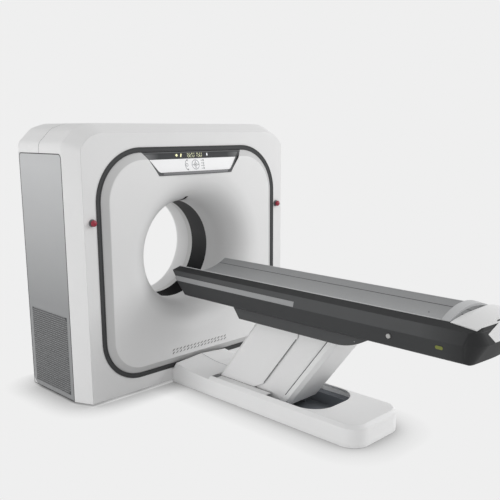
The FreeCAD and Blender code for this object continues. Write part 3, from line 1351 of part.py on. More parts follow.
def front_lift_arm():
    """Front arm, with the crank that the lift drive pushes."""
    arm = lift_arm(FRONT_PIVOT_Y, PIN_GAP)
    tip = crank_tip()
    low = vec(0, FRONT_PIVOT_Y, PIVOT_Z)
    cheeks = []
    for x0, x1 in ((-CRANK_OUT, -CRANK_IN), (CRANK_IN, CRANK_OUT)):
        eye = rod(CRANK_EYE_R, tip + vec(x0, 0, 0), tip + vec(x1, 0, 0))
        root = rod(PIN_R + CRANK_ROOT_T, low + vec(x0, 0, 0), low + vec(x1, 0, 0))
        strap = [(tip.y - CRANK_TIP_HALF, tip.z), (tip.y + CRANK_TIP_HALF, tip.z),
                 (low.y + CRANK_ROOT_HALF, low.z), (low.y - CRANK_ROOT_HALF, low.z)]
        cheeks.append(eye.fuse(root).fuse(prism(polygon(strap, to_yz(x0)), vec(x1 - x0, 0, 0))))
    pin = rod(CRANK_PIN_R, tip - vec(CRANK_OUT, 0, 0), tip + vec(CRANK_OUT, 0, 0))
    bore = rod(PIN_R + PIN_GAP, low - vec(ARM_BOSS_X + PAST, 0, 0), low + vec(ARM_BOSS_X + PAST, 0, 0))
    return fuse(arm, pin, *cheeks).cut(bore)


def rear_lift_arm():
    return lift_arm(REAR_PIVOT_Y, OPEN_PIN_GAP)


def cover_low_limit(behind):
    """How far down along the arm a cover may reach and still clear the floor."""
    low = math.radians(LEAN_LOWERED)
    return (COLUMN_FLOOR - PIVOT_Z + behind * math.sin(low)) / math.cos(low)


def deck_limit(behind):
    """How far up along the rear arm a cover may reach and still clear the lowered deck."""
    low = math.radians(LEAN_LOWERED)
    return ARM_LENGTH + (DECK_Z - UPPER_PIVOT_Z - 4 + behind * math.sin(low)) / math.cos(low)


def front_column_cover():
    """Front cover of the column: a wall ahead of the arm and two sides beside it."""
    turn = (FRONT_WALL_LOW * math.cos(math.radians(LEAN_LOWERED)) + PIVOT_Z - COLUMN_FLOOR)
    turn = turn / math.sin(math.radians(LEAN_LOWERED))
    front = -COLUMN_FRONT
    side = [(FRONT_WALL_LOW, front), (FRONT_WALL_HIGH, front), (SIDE_HIGH, 0), (SIDE_HIGH, COLUMN_SEAM),
            (cover_low_limit(COLUMN_SEAM), COLUMN_SEAM), (FRONT_WALL_LOW, turn)]
    flat = [arm_point(FRONT_PIVOT_Y, along, behind) for along, behind in side]
    face = rounded(flat, [0, 0, 0, COLUMN_TOP_R, 0, 0], to_yz(-COLUMN_HALF_W))
    outer = prism(face, vec(2 * COLUMN_HALF_W, 0, 0))
    outer = outer.common(column_core(FRONT_PIVOT_Y, front, COLUMN_SEAM + 40, 0))
    hollow = column_core(FRONT_PIVOT_Y, front, COLUMN_SEAM + 40, COLUMN_WALL)
    return fuse(outer.cut(hollow), *cover_ties(FRONT_PIVOT_Y, front + COLUMN_WALL, -ARM_EYE_R))


def column_core(pivot_y, wall, open_end, draw):
    """Long block along an arm, its two edges beside the wall chamfered, drawn in by draw."""
    inwards = 1 if open_end > wall else -1
    half = COLUMN_HALF_W - draw
    edge = wall + inwards * draw
    chamfer = COLUMN_EDGE - 0.6 * draw
    points = [(-half + chamfer, edge), (half - chamfer, edge), (half, edge + inwards * chamfer),
              (half, open_end), (-half, open_end), (-half, edge + inwards * chamfer)]
    start, end = -400.0, ARM_LENGTH + 400.0

    def at(along):
        return lambda x, behind: vec(x, *arm_point(pivot_y, along, behind))
    direction = lean_vector(ARM_LEAN) * (end - start)
    return prism(polygon(points, at(start)), direction)


def cover_ties(pivot_y, behind_0, behind_1):
    """Two brackets that tie a cover's wall to its arm."""
    ties = []
    for along in (TIE_LOW, TIE_HIGH):
        block = [(along, behind_0), (along + TIE_W, behind_0), (along + TIE_W, behind_1),
                 (along, behind_1)]
        ties.append(arm_prism(block, pivot_y, -TIE_HALF, TIE_HALF))
    return ties


def rear_column_cover():
    """Rear cover of the column: the wall behind the rear arm and a narrow strip of side."""
    rear = COLUMN_REAR
    strip = rear - COLUMN_STRIP
    low = cover_low_limit(rear)
    high = ARM_LENGTH - 20
    side = [(low, rear), (high, rear), (high + 40, strip), (low - 20, strip)]
    outer = arm_prism(side, REAR_PIVOT_Y, -COLUMN_HALF_W, COLUMN_HALF_W)
    outer = outer.common(column_core(REAR_PIVOT_Y, rear, strip - 40, 0))
    hollow = column_core(REAR_PIVOT_Y, rear, strip - 40, COLUMN_WALL)
    return fuse(outer.cut(hollow), *cover_ties(REAR_PIVOT_Y, ARM_EYE_R, rear - COLUMN_WALL))


def seam_offset():
    """Rear edge of the front cover, measured behind the rear arm at rest."""
    return COLUMN_SEAM - ARM_SPACING * math.cos(math.radians(ARM_LEAN))


def inner_column_cover():
    """Middle panels of the column, which slide inside the front cover."""
    outer_x = COLUMN_HALF_W - INNER_STEP
    front = seam_offset() - INNER_LAP
    rear = COLUMN_REAR - COLUMN_EDGE
    low_front = max(cover_low_limit(front), INNER_WALL_LOW)
    low_rear = cover_low_limit(rear)
    turn = rear - (low_rear - low_front) / math.tan(math.radians(LEAN_LOWERED))
    high_front = deck_limit(front)
    flat = front + (SIDE_HIGH - high_front) / math.tan(math.radians(LEAN_LOWERED))
    side = [(low_front, front), (high_front, front), (SIDE_HIGH, flat), (SIDE_HIGH, 20),
            (ARM_LENGTH - 20, rear), (low_rear, rear), (low_front, turn)]
    outer = arm_prism(side, REAR_PIVOT_Y, -outer_x, outer_x)
    reach = outer_x - COLUMN_WALL
    hollow = [(low_front - 200, front - 20), (SIDE_HIGH + 200, front - 20),
              (SIDE_HIGH + 200, rear + 20), (low_front - 200, rear + 20)]
    panels = outer.cut(arm_prism(hollow, REAR_PIVOT_Y, -reach, reach))
    spacers = []
    for along in (200, 400, ARM_LENGTH - 140):
        pad = [(along, rear - 24), (along + SPACER_W, rear - 24), (along + SPACER_W, rear - 4),
               (along, rear - 4)]
        for side in (-1, 1):
            spacers.append(arm_prism(pad, REAR_PIVOT_Y, side * (outer_x - PAST),
                                     side * (COLUMN_HALF_W - COLUMN_WALL)))
    return panels.fuse(spacers)


def pivot_pins(z, y_shift):
    pins = []
    for y in (FRONT_PIVOT_Y, REAR_PIVOT_Y):
        middle = vec(0, y - y_shift, z)
        pins.append(rod(PIN_R, middle - vec(PIN_HALF, 0, 0), middle + vec(PIN_HALF, 0, 0)))
    return Part.makeCompound(pins)


def lower_pivot_pins():
    return pivot_pins(PIVOT_Z, 0)


def upper_pivot_pins():
    return pivot_pins(UPPER_PIVOT_Z, UPPER_SHIFT)


def bracket(y, z, base_z, side):
    """Upright or hanging plate that holds a pivot pin, with a rounded end."""
    x0, x1 = side * BRACKET_IN, side * BRACKET_OUT
    eye = rod(BRACKET_R, vec(x0, y, z), vec(x1, y, z))
    stem = box(x0, x1, y - BRACKET_R, y + BRACKET_R, z, base_z)
    hole = rod(PIN_R, vec(side * 90, y, z), vec(side * 140, y, z))
    return eye.fuse(stem).cut(hole)


# ---- table base ----

def table_base_frame():
    """Floor plate of the table with side channels, pivot brackets and anchor holes."""
    front, rear = NOSE_REAR_Y + 30, BASE_REAR_Y + 36
    points = [(-PLATE_HALF_W, front), (-PLATE_HALF_W, rear), (PLATE_HALF_W, rear), (PLATE_HALF_W, front)]
    radii = [PLATE_FRONT_R, BASE_CORNER_R, BASE_CORNER_R, PLATE_FRONT_R]
    plate = prism(rounded(points, radii, to_xy(0)), vec(0, 0, PLATE_T))
    pieces = []
    for side in (-1, 1):
        web_x = CHANNEL_X + CHANNEL_T
        pieces.append(box(side * CHANNEL_X, side * web_x, front - 100, rear + 150,
                          PLATE_T, CHANNEL_TOP_Z))
        pieces.append(box(side * web_x, side * (BASE_HALF_W - BASE_WALL), front - 100, rear + 150,
                          CHANNEL_TOP_Z - CHANNEL_T, CHANNEL_TOP_Z))
        for y in (FRONT_PIVOT_Y, REAR_PIVOT_Y):
            pieces.append(bracket(y, PIVOT_Z, PLATE_T, side))
            pieces.append(box(side * BRACKET_IN, side * BRACKET_OUT, y - GUSSET_HALF_L,
                              y + GUSSET_HALF_L, PLATE_T, GUSSET_TOP_Z))
    frame = fuse(plate, *pieces)
    holes = []
    for x in (-TABLE_ANCHOR_X, TABLE_ANCHOR_X):
        for y in (TABLE_ANCHOR_FRONT_Y, TABLE_ANCHOR_REAR_Y):
            holes.append(rod(TABLE_ANCHOR_R, vec(x, y, -PAST), vec(x, y, PLATE_T + PAST)))
    return frame.cut(holes)


def base_block(draw, floor_z):
    """The plinth as a solid block, drawn in by draw."""
    half = BASE_HALF_W - draw
    rear = BASE_REAR_Y + draw
    top = BASE_TOP_Z - draw
    corner = BASE_CORNER_R - draw
    front = NOSE_REAR_Y
    points = [(-half, front), (-half, rear), (half, rear), (half, front)]
    radii = [0, corner, corner, 0]
    chamfer = BASE_RIM_CHAMFER
    low = prism(rounded(points, radii, to_xy(floor_z)), vec(0, 0, top - chamfer - floor_z))
    shoulder = rounded(points, radii, to_xy(top - chamfer))
    inner_points = [(-half + chamfer, front), (-half + chamfer, rear + chamfer),
                    (half - chamfer, rear + chamfer), (half - chamfer, front)]
    cap = rounded(inner_points, [0, corner - chamfer, corner - chamfer, 0], to_xy(top))
    return low.fuse(loft(shoulder, cap))


def nose_block(draw, floor_z):
    """The low ramp of the plinth between the column and the gantry, with its crease."""
    half = BASE_HALF_W - draw

    def section(y, edge_z, ridge_z):
        points = [(-half, floor_z), (half, floor_z), (half, edge_z - draw), (0, ridge_z - draw),
                  (-half, edge_z - draw)]
        return polygon(points, to_xz(y))
    return loft(section(BASE_FRONT_Y - draw, NOSE_FRONT_Z, NOSE_FRONT_Z + 4),
                section(NOSE_RIDGE_Y, NOSE_EDGE_Z, NOSE_RIDGE_Z),
                section(NOSE_DIP_Y, NOSE_DIP_EDGE_Z, NOSE_DIP_Z),
                section(NOSE_REAR_Y, BASE_TOP_Z - BASE_RIM_CHAMFER, BASE_TOP_Z))


def pocket_outline(place):
    front = NOSE_REAR_Y - 6
    points = [(-POCKET_HALF_W, front), (-POCKET_HALF_W, POCKET_REAR_Y), (POCKET_HALF_W, POCKET_REAR_Y),
              (POCKET_HALF_W, front)]
    return rounded(points, [0, POCKET_R, POCKET_R, 0], place)


def table_base_cover():
    """White plinth cover, open below and round the column."""
    outer = base_block(0, 0).fuse(nose_block(0, 0))
    inner = base_block(BASE_WALL, -5).fuse(nose_block(BASE_WALL, -5))
    shell = outer.cut(inner)
    pocket = prism(pocket_outline(to_xy(20)), vec(0, 0, 200))
    return shell.cut(pocket)


def lift_ram():
    """Electric lift cylinder lying in the plinth, with its motor."""
    front = RAM_FRONT_Y
    rear = crank_tip().y + RAM_REAR
    tube = rod(RAM_R, vec(0, front, RAM_Z), vec(0, rear, RAM_Z))
    motor = box(RAM_MOTOR_LOW_X, RAM_MOTOR_HIGH_X, front - 10, front - 10 - RAM_MOTOR_L,
                RAM_MOTOR_LOW_Z, RAM_MOTOR_TOP_Z)
    mount = box(-RAM_MOUNT_HALF_W, RAM_MOUNT_HALF_W, rear + 4, rear + 40, PLATE_T, RAM_MOUNT_TOP_Z)
    bore = rod(RAM_ROD_R + PIN_GAP, vec(0, crank_tip().y + ROD_REACH + 50, RAM_Z),
               vec(0, rear - PAST, RAM_Z))
    return fuse(tube, motor, mount).cut(bore)


def lift_yoke():
    """Sliding rod with a slotted fork that holds the crank pin."""
    tip = crank_tip()
    block = box(-YOKE_HALF_W, YOKE_HALF_W, tip.y - YOKE_HALF_L, tip.y + YOKE_HALF_L,
                PLATE_T + SLIDE_GAP, YOKE_TOP_Z)
    half = CRANK_PIN_R + CRANK_GAP
    slot = box(-YOKE_HALF_W - PAST, YOKE_HALF_W + PAST, tip.y - half, tip.y + half,
               tip.z - CRANK_PIN_R - 4, YOKE_TOP_Z + PAST)
    shaft = rod(RAM_ROD_R, vec(0, tip.y + YOKE_HALF_L - 5, RAM_Z), vec(0, tip.y + ROD_REACH, RAM_Z))
    return fuse(block, shaft).cut(slot)


# ---- table top ----

def body_section(draw, top_half):
    """Cross-section of the dark table body, drawn in by draw."""
    right = [(BODY_BOTTOM_HALF, BODY_BOTTOM_Z), (LOWER_HALF, LOWER_Z), (WIDEST_HALF, CREASE_Z),
             (SHOULDER_HALF, SHOULDER_Z), (BODY_TOP_HALF, BODY_TOP_Z)]
    left = [(-x, z) for x, z in reversed(right)]
    outline = left + right
    outline = [outline[(i + 4) % 10] for i in range(10)]
    distances = [draw] * 10
    distances[5] = top_half
    return inset(outline, distances)


def nose_profile(draw, place):
    """Side view of the body with its raked nose."""
    high, low = BODY_TOP_Z + 2 * REACH, BODY_BOTTOM_Z - 2 * REACH
    points = [(TABLE_FOOT_Y - REACH, high), (TABLE_FOOT_Y - REACH, low),
              (NOSE_LOW_Y - draw, low), (NOSE_LOW_Y - draw, BODY_BOTTOM_Z),
              (NOSE_FACE_Y - draw, NOSE_FACE_Z), (NOSE_CHIN_Y - draw, NOSE_CHIN_Z),
              (TABLE_NOSE_Y - draw, SHOULDER_Z), (CRADLE_FRONT_Y - draw, BODY_TOP_Z),
              (CRADLE_FRONT_Y - draw, high)]
    return polygon(points, place)


def body_block(draw, top):
    """The table body as a solid block."""
    length = TABLE_FOOT_Y - TABLE_NOSE_Y
    block = prism(polygon(body_section(draw, top), to_xz(TABLE_NOSE_Y)), vec(0, length, 0))
    side = prism(nose_profile(draw, to_yz(-WIDEST_HALF - 20)), vec(2 * WIDEST_HALF + 40, 0, 0))
    return block.common(side).common(foot_corners(draw))


def foot_outline(half, rear, corner, z):
    """Plan of the body at one height, its foot bowed outwards between round corners."""
    side = half + 4
    front = TABLE_NOSE_Y + 100
    points = [(-side, front), (-side, rear + FOOT_BOW), (0, rear), (side, rear + FOOT_BOW),
              (side, front)]
    return rounded(points, [0, corner, FOOT_BOW_R, corner, 0], to_xy(z))


def foot_corners(draw):
    """Space that the body's foot keeps to: widest along the crease, drawn in above and below."""
    widest = foot_outline(WIDEST_HALF, TABLE_FOOT_Y + draw, FOOT_CORNER_R, CREASE_Z)
    low = foot_outline(LOWER_HALF, TABLE_FOOT_Y + FOOT_LOW_DRAW + draw, FOOT_LOW_CORNER_R,
                       BODY_BOTTOM_Z)
    high = foot_outline(SHOULDER_HALF, TABLE_FOOT_Y + FOOT_TOP_DRAW + draw, FOOT_TOP_CORNER_R,
                        BODY_TOP_Z)
    below = prism(low, vec(0, 0, -60))
    above = prism(high, vec(0, 0, 120))
    return fuse(loft(low, widest), loft(widest, high), below, above)


def tail_notch():
    """Where the tail cover's skirt hangs over the foot of the body."""
    high = BODY_TOP_Z + 20
    points = [(-TAIL_SKIRT_HALF, CREASE_Z + 2), (TAIL_SKIRT_HALF, CREASE_Z + 2),
              (TAIL_SKIRT_HALF + TAIL_SKIRT_SLOPE, high), (-TAIL_SKIRT_HALF - TAIL_SKIRT_SLOPE, high)]
    return points


def table_body_shell():
    """Dark body of the table top: a long trough, open above for the cradle."""
    outer = body_block(0, 0)
    inner = body_block(BODY_WALL, -40)
    shell = outer.cut(inner)
    channel = box(-BODY_TOP_HALF, BODY_TOP_HALF, CRADLE_FRONT_Y + 30, TABLE_FOOT_Y - 5,
                  BODY_TOP_Z - BODY_WALL - 14, BODY_TOP_Z + 20)
    nose_window = box(-BODY_TOP_HALF, BODY_TOP_HALF, TABLE_NOSE_Y + 20, TABLE_NOSE_Y - 90,
                      CRADLE_LOW_Z - CRADLE_T - 30, BODY_TOP_Z + 20)
    notch = prism(polygon(tail_notch(), to_xz(TABLE_FOOT_Y - 5)), vec(0, FOOT_TOP_DRAW + 12, 0))
    well = box(-BELLY_SLOT_HALF, BELLY_SLOT_HALF, BELLY_SLOT_FRONT_Y, BELLY_SLOT_REAR_Y,
               BODY_BOTTOM_Z - PAST, BODY_BOTTOM_Z + REACH / 2)
    button = rod(BUTTON_R + COVER_GAP, vec(-WIDEST_HALF - 20, BUTTON_Y, BUTTON_Z),
                 vec(-BODY_BOTTOM_HALF + 5, BUTTON_Y, BUTTON_Z))
    return shell.cut([channel, nose_window, notch, well, button])


def belly_profile(draw, place):
    """Side view of the belly cover, with its rear swept up in one arc."""
    top = BODY_BOTTOM_Z
    rise = LOWER_Z - BELLY_LOW_Z
    run = BELLY_TURN_Y - BELLY_REAR_Y
    radius = (run * run + rise * rise) / (2 * rise)
    centre_z = BELLY_LOW_Z + radius
    arc_r = radius - draw
    end_drop = math.sqrt(arc_r ** 2 - (centre_z - top) ** 2)
    half = math.asin(end_drop / arc_r) / 2
    low = BELLY_LOW_Z + draw
    start = place(BELLY_TURN_Y, low)
    middle = place(BELLY_TURN_Y - arc_r * math.sin(half), centre_z - arc_r * math.cos(half))
    end = place(BELLY_TURN_Y - end_drop, top)
    nose = place(BELLY_FRONT_Y - draw, top)
    chin = place(BELLY_LOW_FRONT_Y - draw, low)
    return Part.Wire([Part.Arc(start, middle, end).toShape(), Part.makeLine(end, nose),
                      Part.makeLine(nose, chin), Part.makeLine(chin, start)])


def belly_block(draw):
    half = BODY_BOTTOM_HALF
    side = prism(belly_profile(draw, to_yz(-half - 5)), vec(2 * half + 10, 0, 0))
    section = [(-BELLY_LOW_HALF + draw, BELLY_LOW_Z - 5), (BELLY_LOW_HALF - draw, BELLY_LOW_Z - 5),
               (BODY_BOTTOM_HALF - draw, BODY_BOTTOM_Z), (-BODY_BOTTOM_HALF + draw, BODY_BOTTOM_Z)]
    return side.common(prism(polygon(section, to_xz(0)), vec(0, BELLY_REAR_Y - 50, 0)))


def belly_cover():
    """Cover below the body that hides the upper pivots, open round the column."""
    shell = belly_block(0).cut(belly_block(BODY_WALL))
    slot = box(-BELLY_SLOT_HALF, BELLY_SLOT_HALF, BELLY_SLOT_FRONT_Y, BELLY_SLOT_REAR_Y,
               BELLY_LOW_Z - PAST, BODY_BOTTOM_Z + PAST)
    return shell.cut([slot])


def accent_stripes():
    """Pale strips let into the body's sides, along the crease."""
    band = pair(box(BODY_BOTTOM_HALF, WIDEST_HALF + 20, STRIPE_FRONT_Y, STRIPE_REAR_Y,
                    STRIPE_LOW_Z, STRIPE_HIGH_Z))
    return body_block(-STRIPE_T, 0).common(band).cut(body_block(0, 0))


def tail_arc(y, crown_z, edge_half, edge_z, floor_z):
    """Section of the tail cover: a low arch over straight sides."""
    left, right = vec(-edge_half, y, edge_z), vec(edge_half, y, edge_z)
    crown = vec(0, y, crown_z)
    low_left, low_right = vec(-edge_half, y, floor_z), vec(edge_half, y, floor_z)
    return Part.Wire([Part.Arc(left, crown, right).toShape(), Part.makeLine(right, low_right),
                      Part.makeLine(low_right, low_left), Part.makeLine(low_left, left)])


def tail_block(draw):
    edge = BODY_TOP_Z - draw
    floor = BODY_TOP_Z - 22
    front_half, foot_half = TAIL_FRONT_HALF - draw, TAIL_FOOT_HALF - draw
    rise_y = TAIL_FRONT_Y - TAIL_RISE
    share = TAIL_RISE / (TAIL_FRONT_Y - TABLE_FOOT_Y)
    rise_half = front_half + (foot_half - front_half) * share
    first = tail_arc(TAIL_FRONT_Y, edge + TAIL_FRONT_CROWN, front_half, edge, floor)
    second = tail_arc(rise_y, edge + TAIL_CROWN, rise_half, edge, floor)
    third = tail_arc(TABLE_FOOT_Y, edge + TAIL_FOOT_CROWN, foot_half,
                     edge - TAIL_FOOT_DROP, floor)
    return loft(first, second, third)


def tail_cover():
    """White hood over the foot of the table, with a skirt down its end."""
    outer = tail_block(0).common(foot_corners(0))
    inner = tail_block(TAIL_WALL).common(foot_corners(TAIL_WALL))
    hood = outer.cut([inner, body_block(0, 0)])
    skirt_points = inset(tail_notch(), [COVER_GAP, COVER_GAP, 0, COVER_GAP])
    curtain = foot_corners(0).cut(foot_corners(BODY_WALL))
    skirt = prism(polygon(skirt_points, to_xz(TABLE_FOOT_Y - 5)), vec(0, FOOT_TOP_DRAW + 12, 0))
    below_hood = box(-WIDEST_HALF, WIDEST_HALF, TABLE_FOOT_Y - 10, TABLE_FOOT_Y + 60,
                     CREASE_Z, BODY_TOP_Z - 10)
    skirt = skirt.common(curtain).common(tail_block(0).fuse(below_hood))
    return fuse(hood, skirt)


# ---- frame and drive inside the table top ----

def upper_frame():
    """Welded frame of the table top: side beams, deck, rails and hanging pivot brackets."""
    rear = TABLE_FOOT_Y + FOOT_LOW_DRAW + FOOT_LOW_CORNER_R + 4
    pieces = []
    for side in (-1, 1):
        pieces.append(box(side * 168, side * 208, DECK_FRONT_Y, rear, BODY_BOTTOM_Z + BODY_WALL, DECK_Z))
        pieces.append(box(side * (RAIL_X - RAIL_W / 2), side * (RAIL_X + RAIL_W / 2), DECK_FRONT_Y, rear,
                          deck_top(), deck_top() + RAIL_H))
        for y in (FRONT_PIVOT_Y, REAR_PIVOT_Y):
            pieces.append(bracket(y - UPPER_SHIFT, UPPER_PIVOT_Z, DECK_Z, side))
    pieces.append(box(-208, 208, DECK_FRONT_Y, rear, DECK_Z, deck_top()))
    frame = fuse(pieces[0], *pieces[1:])
    windows = [box(-110, 110, DECK_FRONT_Y - 100, DECK_FRONT_Y - 340, DECK_Z - 1, deck_top() + 1),
               box(-40, 40, rear - 1, MOTOR_Y, DECK_Z - 1, deck_top() + 1)]
    return frame.cut(windows)


def deck_top():
    return DECK_Z + DECK_T


def cradle_section(drop, edge_t):
    """Upper or lower line of the cradle: edge, crease, arc, crease, edge."""
    half, crease = CRADLE_HALF_W, CRADLE_CREASE_X
    return [(-half, CRADLE_EDGE_Z - edge_t), (-crease - drop * 0.2, CRADLE_CREASE_Z - drop),
            (0, CRADLE_LOW_Z - drop), (crease + drop * 0.2, CRADLE_CREASE_Z - drop),
            (half, CRADLE_EDGE_Z - edge_t)]


def cradle_top():
    """Shallow carbon-fibre trough that carries the patient."""
    upper = [vec(x, CRADLE_FRONT_Y, z) for x, z in cradle_section(0, 0)]
    lower = [vec(x, CRADLE_FRONT_Y, z) for x, z in cradle_section(CRADLE_T, CRADLE_T)]
    edges = [Part.makeLine(upper[0], upper[1]), Part.Arc(*upper[1:4]).toShape(),
             Part.makeLine(upper[3], upper[4]), Part.makeLine(upper[4], lower[4]),
             Part.makeLine(lower[4], lower[3]), Part.Arc(lower[3], lower[2], lower[1]).toShape(),
             Part.makeLine(lower[1], lower[0]), Part.makeLine(lower[0], upper[0])]
    return prism(Part.Wire(edges), vec(0, CRADLE_REAR_Y - CRADLE_FRONT_Y, 0))


def under_cradle(gap):
    """Space above the cradle's underside, lowered by gap, as a cutter."""
    lower = [vec(x, CRADLE_FRONT_Y + 5, z - gap) for x, z in cradle_section(CRADLE_T, CRADLE_T)]
    lift = vec(0, 0, 80)
    edges = [Part.makeLine(lower[0], lower[1]), Part.Arc(*lower[1:4]).toShape(),
             Part.makeLine(lower[3], lower[4]), Part.makeLine(lower[4], lower[4] + lift),
             Part.makeLine(lower[4] + lift, lower[0] + lift), Part.makeLine(lower[0] + lift, lower[0])]
    return prism(Part.Wire(edges), vec(0, CRADLE_REAR_Y - CRADLE_FRONT_Y - 80, 0))


def cradle_carriage():
    """Carriage under the foot of the cradle, with shoes on the rails."""
    rear = CRADLE_REAR_Y - 48
    front = rear + CARRIAGE_LENGTH
    block = box(-130, 130, rear, front, deck_top() + CARRIAGE_LOW, CRADLE_CREASE_Z)
    rail_in, rail_out = RAIL_X - RAIL_W / 2, RAIL_X + RAIL_W / 2
    shoe_low, shoe_top = deck_top() + 4, deck_top() + RAIL_H + 12
    pieces = [block]
    for side in (-1, 1):
        pieces.append(box(side * 100, side * (rail_out + 10), rear + 20, front - 20,
                          deck_top() + RAIL_H + SLIDE_GAP, shoe_top))
        pieces.append(box(side * (rail_in - 12), side * (rail_in - SLIDE_GAP), rear + 20, front - 20,
                          shoe_low, shoe_top))
        pieces.append(box(side * (rail_out + SLIDE_GAP), side * (rail_out + 10), rear + 20, front - 20,
                          shoe_low, shoe_top))
    nut = rod(SCREW_R + PIN_GAP, vec(0, rear - 1, SCREW_Z), vec(0, front + 1, SCREW_Z))
    return fuse(pieces[0], *pieces[1:]).cut([under_cradle(0), nut])


def cradle_handle():
    """Arched grab bar across the foot of the cradle."""
    front, rear = CRADLE_REAR_Y, CRADLE_REAR_Y - HANDLE_W

    def arch(y, crown, half, edge_z):
        return Part.Arc(vec(-half, y, edge_z), vec(0, y, crown), vec(half, y, edge_z)).toShape()
    half = CRADLE_HALF_W
    wires = []
    for y, crown in ((front, HANDLE_CROWN_Z), (rear, HANDLE_CROWN_Z - 8)):
        top = arch(y, crown, half, CRADLE_EDGE_Z)
        low = arch(y, crown - HANDLE_T, half - HANDLE_T * 1.6, CRADLE_EDGE_Z)
        ends = [Part.makeLine(vec(s * half, y, CRADLE_EDGE_Z),
                              vec(s * (half - HANDLE_T * 1.6), y, CRADLE_EDGE_Z)) for s in (-1, 1)]
        wires.append(Part.Wire(Part.__sortEdges__([top, low] + ends)))
    bar = loft(*wires)
    feet = []
    for side in (-1, 1):
        feet.append(box(side * (half - HANDLE_T * 1.6), side * half, rear, front,
                        CRADLE_EDGE_Z - HANDLE_PLATE_LOW, CRADLE_EDGE_Z))
    low = CRADLE_EDGE_Z - HANDLE_PLATE_LOW
    plate = box(-half, half, rear, front, low, low + HANDLE_PLATE_T)
    return fuse(bar, plate, *feet)


def cradle_lead_screw():
    """Long screw that draws the carriage along the deck."""
    return rod(SCREW_R, vec(0, MOTOR_Y - 30, SCREW_Z), vec(0, DECK_FRONT_Y - 20, SCREW_Z))


def cradle_motor():
    """Motor of the cradle drive with its upright plate, and the screw's front bearing block."""
    body = rod(33, vec(0, MOTOR_Y, SCREW_Z), vec(0, MOTOR_Y - 110, SCREW_Z))
    plate = box(-60, 60, MOTOR_Y, MOTOR_Y + 10, deck_top(), SCREW_Z + 34)
    front = DECK_FRONT_Y - 20
    block = box(-22, 22, front - 18, front + 2, deck_top(), SCREW_Z + 14)
    bore = rod(SCREW_R + PIN_GAP, vec(0, MOTOR_Y - 31, SCREW_Z), vec(0, front + 0.5, SCREW_Z))
    return Part.makeCompound([fuse(body, plate).cut(bore), block.cut(bore)])


def nose_slide_pads():
    """Two low-friction pads that carry the cradle at the nose."""
    pads = []
    for side in (-1, 1):
        pad = box(side * 40, side * 110, DECK_FRONT_Y - 5, DECK_FRONT_Y - 45, deck_top(), CRADLE_CREASE_Z)
        pads.append(pad.cut(under_cradle(SLIDE_GAP)))
    return Part.makeCompound(pads)


def release_button():
    """Left-hand round button that frees the cradle."""
    x = -WIDEST_HALF + (WIDEST_HALF - LOWER_HALF) * (CREASE_Z - BUTTON_Z) / (CREASE_Z - LOWER_Z)
    cap = rod(BUTTON_R, vec(x + 20, BUTTON_Y, BUTTON_Z), vec(x - BUTTON_TRAVEL - 4, BUTTON_Y, BUTTON_Z))
    stem = rod(6, vec(x + 20, BUTTON_Y, BUTTON_Z), vec(x + 44, BUTTON_Y, BUTTON_Z))
    return fuse(cap, stem)


PARTS = {
    "gantry_base_frame": gantry_base_frame,
    "levelling_feet": levelling_feet,
    "stator_frame": stator_frame,
    "bearing_outer_ring": bearing_outer_ring,
    "front_housing_shell": front_housing_shell,
    "rear_housing_shell": rear_housing_shell,
    "side_panel_left": lambda: mirror(side_panel()),
    "side_panel_right": side_panel,
    "side_grilles": lambda: pair(side_grille()),
    "trim_ring": trim_ring,
    "front_cover": front_cover,
    "rear_cover": rear_cover,
    "scan_window": scan_window,
    "rear_bore_liner": rear_bore_liner,
    "laser_window": laser_window,
    "console_housing": console_housing,
    "display_panel": display_panel,
    "key_panel": key_panel,
    "stop_collars": lambda: pair(stop_collar()),
    "power_cabinet": power_cabinet,
    "fan_frame": fan_frame,
    "drive_motor": drive_motor,
    "drive_belt": drive_belt,
    "brush_block": brush_block,
    "stop_button_left": lambda: mirror(stop_button()),
    "stop_button_right": stop_button,
    "fan_rotor": fan_rotor,
    "motor_pulley": motor_pulley,
    "rotor_drum": rotor_drum,
    "bearing_inner_ring": bearing_inner_ring,
    "slip_ring": slip_ring,
    "xray_tube": xray_tube,
    "collimator": collimator,
    "detector_arc": detector_arc,
    "high_voltage_unit": high_voltage_unit,
    "heat_exchanger": heat_exchanger,
    "counterweights": counterweights,
    "table_base_frame": table_base_frame,
    "table_base_cover": table_base_cover,
    "lower_pivot_pins": lower_pivot_pins,
    "lift_ram": lift_ram,
    "lift_yoke": lift_yoke,
    "front_lift_arm": front_lift_arm,
    "front_column_cover": front_column_cover,
    "rear_lift_arm": rear_lift_arm,
    "rear_column_cover": rear_column_cover,
    "inner_column_cover": inner_column_cover,
    "upper_frame": upper_frame,
    "upper_pivot_pins": upper_pivot_pins,
    "table_body_shell": table_body_shell,
    "belly_cover": belly_cover,
    "accent_stripes": accent_stripes,
    "tail_cover": tail_cover,
    "nose_slide_pads": nose_slide_pads,
    "cradle_motor": cradle_motor,
    "cradle_lead_screw": cradle_lead_screw,
    "cradle_top": cradle_top,
    "cradle_carriage": cradle_carriage,
    "cradle_handle": cradle_handle,
    "release_button": release_button,
}

os.makedirs("parts", exist_ok=True)
for node, make in PARTS.items():
    shape = make()
    solids = shape.Solids
    print(node, "solids", len(solids), "valid", shape.isValid(),
          "volume", round(sum(s.Volume for s in solids)))
    Part.makeCompound(solids).exportStep("parts/%s.step" % node)
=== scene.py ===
# %% [markdown]
# A computed-tomography scanner is two machines in one: a ring-shaped gantry that turns an x-ray
# tube round the patient, and a table on a lift that slides the patient through the ring.
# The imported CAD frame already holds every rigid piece. This lesson dresses those pieces with
# finishes, adds the small things a buyer would miss, and lights them as a plain studio would.

import json
import math

import bmesh
import bpy
from mathutils import Matrix, Vector


